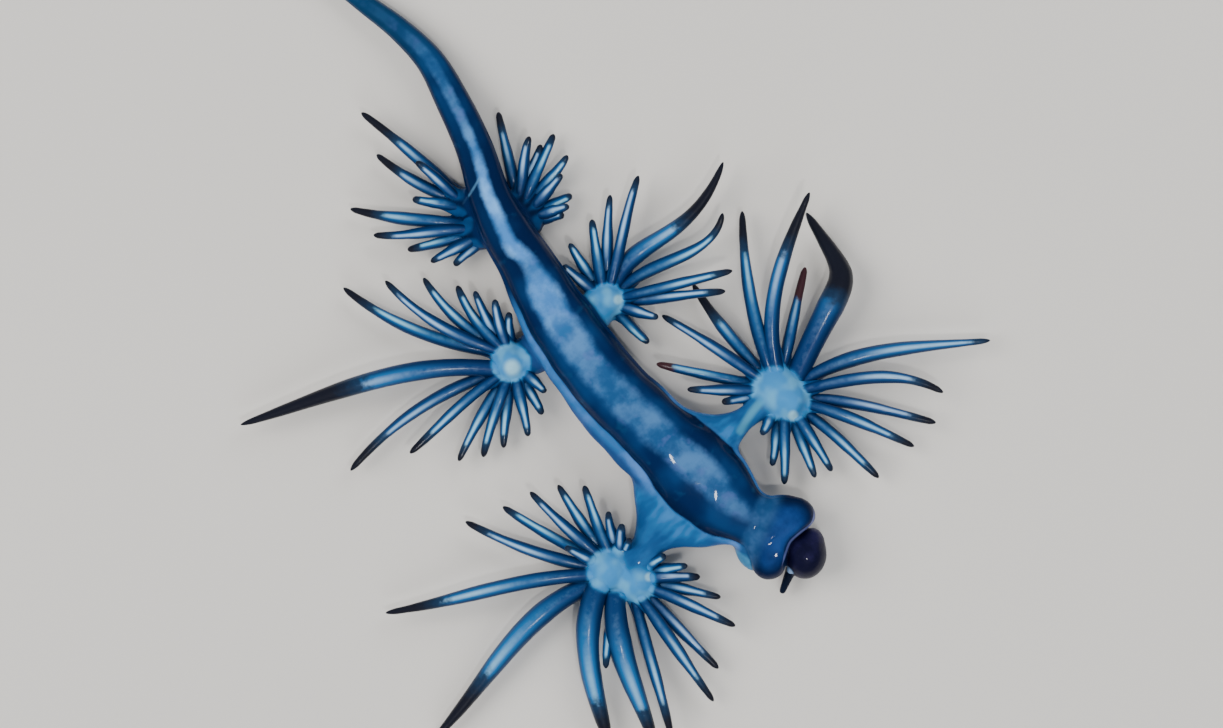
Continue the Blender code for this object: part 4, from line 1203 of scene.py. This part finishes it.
# No point of a ceras lies lower than this, and each ceras keeps this share of its cell in the map free.
LOWEST = 0.01
MAP_MARGIN = 0.03
rows_at = np.concatenate([np.linspace(0, 0.94, RINGS - TIP_RINGS), np.linspace(0.95, 0.996, TIP_RINGS)])


def carry(values, count, tip=0.0, root=0.0):
    """One number for each point: the rings' values, then those of the tip and of the root."""
    rings = np.broadcast_to(values, (count, RINGS, SIDES)).reshape(count, -1)
    return np.column_stack([rings, np.full(count, tip), np.full(count, root)]).ravel()


for name, fan in FANS.items():
    rings, tips, roots = ceras_points(fan, rows_at)
    count = len(rings)
    points = np.concatenate([rings.reshape(count, -1, 3), tips[:, None], roots[:, None]], axis=1)
    points = points.reshape(-1, 3)
    points[:, 2] = np.maximum(points[:, 2], LOWEST)
    looks = {
        "dark": fan["rows"][:, DARK_FROM],
        "pale": fan["rows"][:, PALENESS],
        "shade": np.random.default_rng(SEED).uniform(0, 1, count),
        "stout": stoutness(fan),
        "rust": np.isin(np.arange(count), RUSTY.get(name, ())),
    }
    fan_marks = {
        "along": carry(rows_at[:, None], count, tip=1.0),
        "out": carry(np.cos(ANGLES), count),
        "up": carry(np.sin(ANGLES), count),
        "rim_share": pad_share(points[:, 0], points[:, 1], name),
        **{key: np.repeat(values, POINTS_EACH) for key, values in looks.items()},
    }
    quads, tris, *maps = tube_faces(count)
    faces = quads.reshape(-1, 4).tolist() + tris.reshape(-1, 3).tolist()
    made = make_piece(f"fan_{name}", points, faces, fan_marks, finger, [f"cerata_{name}"])
    columns = math.ceil(math.sqrt(count * 3))
    lines = math.ceil(count / columns)
    cell = np.stack([np.arange(count) % columns, np.arange(count) // columns], axis=1)[:, None, None, :]
    places = []
    for around, along in maps:
        inner = np.stack([around, along], axis=2) * (1 - 2 * MAP_MARGIN) + MAP_MARGIN
        places.append(((cell + inner) / (columns, lines)).reshape(-1, 2))
    layer = made.data.uv_layers.new(name="OFBake")
    layer.data.foreach_set("uv", np.concatenate(places).ravel().astype(np.float32))
    print(made.name, len(points), "points", count, "cerata")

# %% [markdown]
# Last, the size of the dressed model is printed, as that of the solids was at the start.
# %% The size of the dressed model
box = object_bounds()
print("box", [round(v / MM, 2) for corner in box for v in corner], "mm")
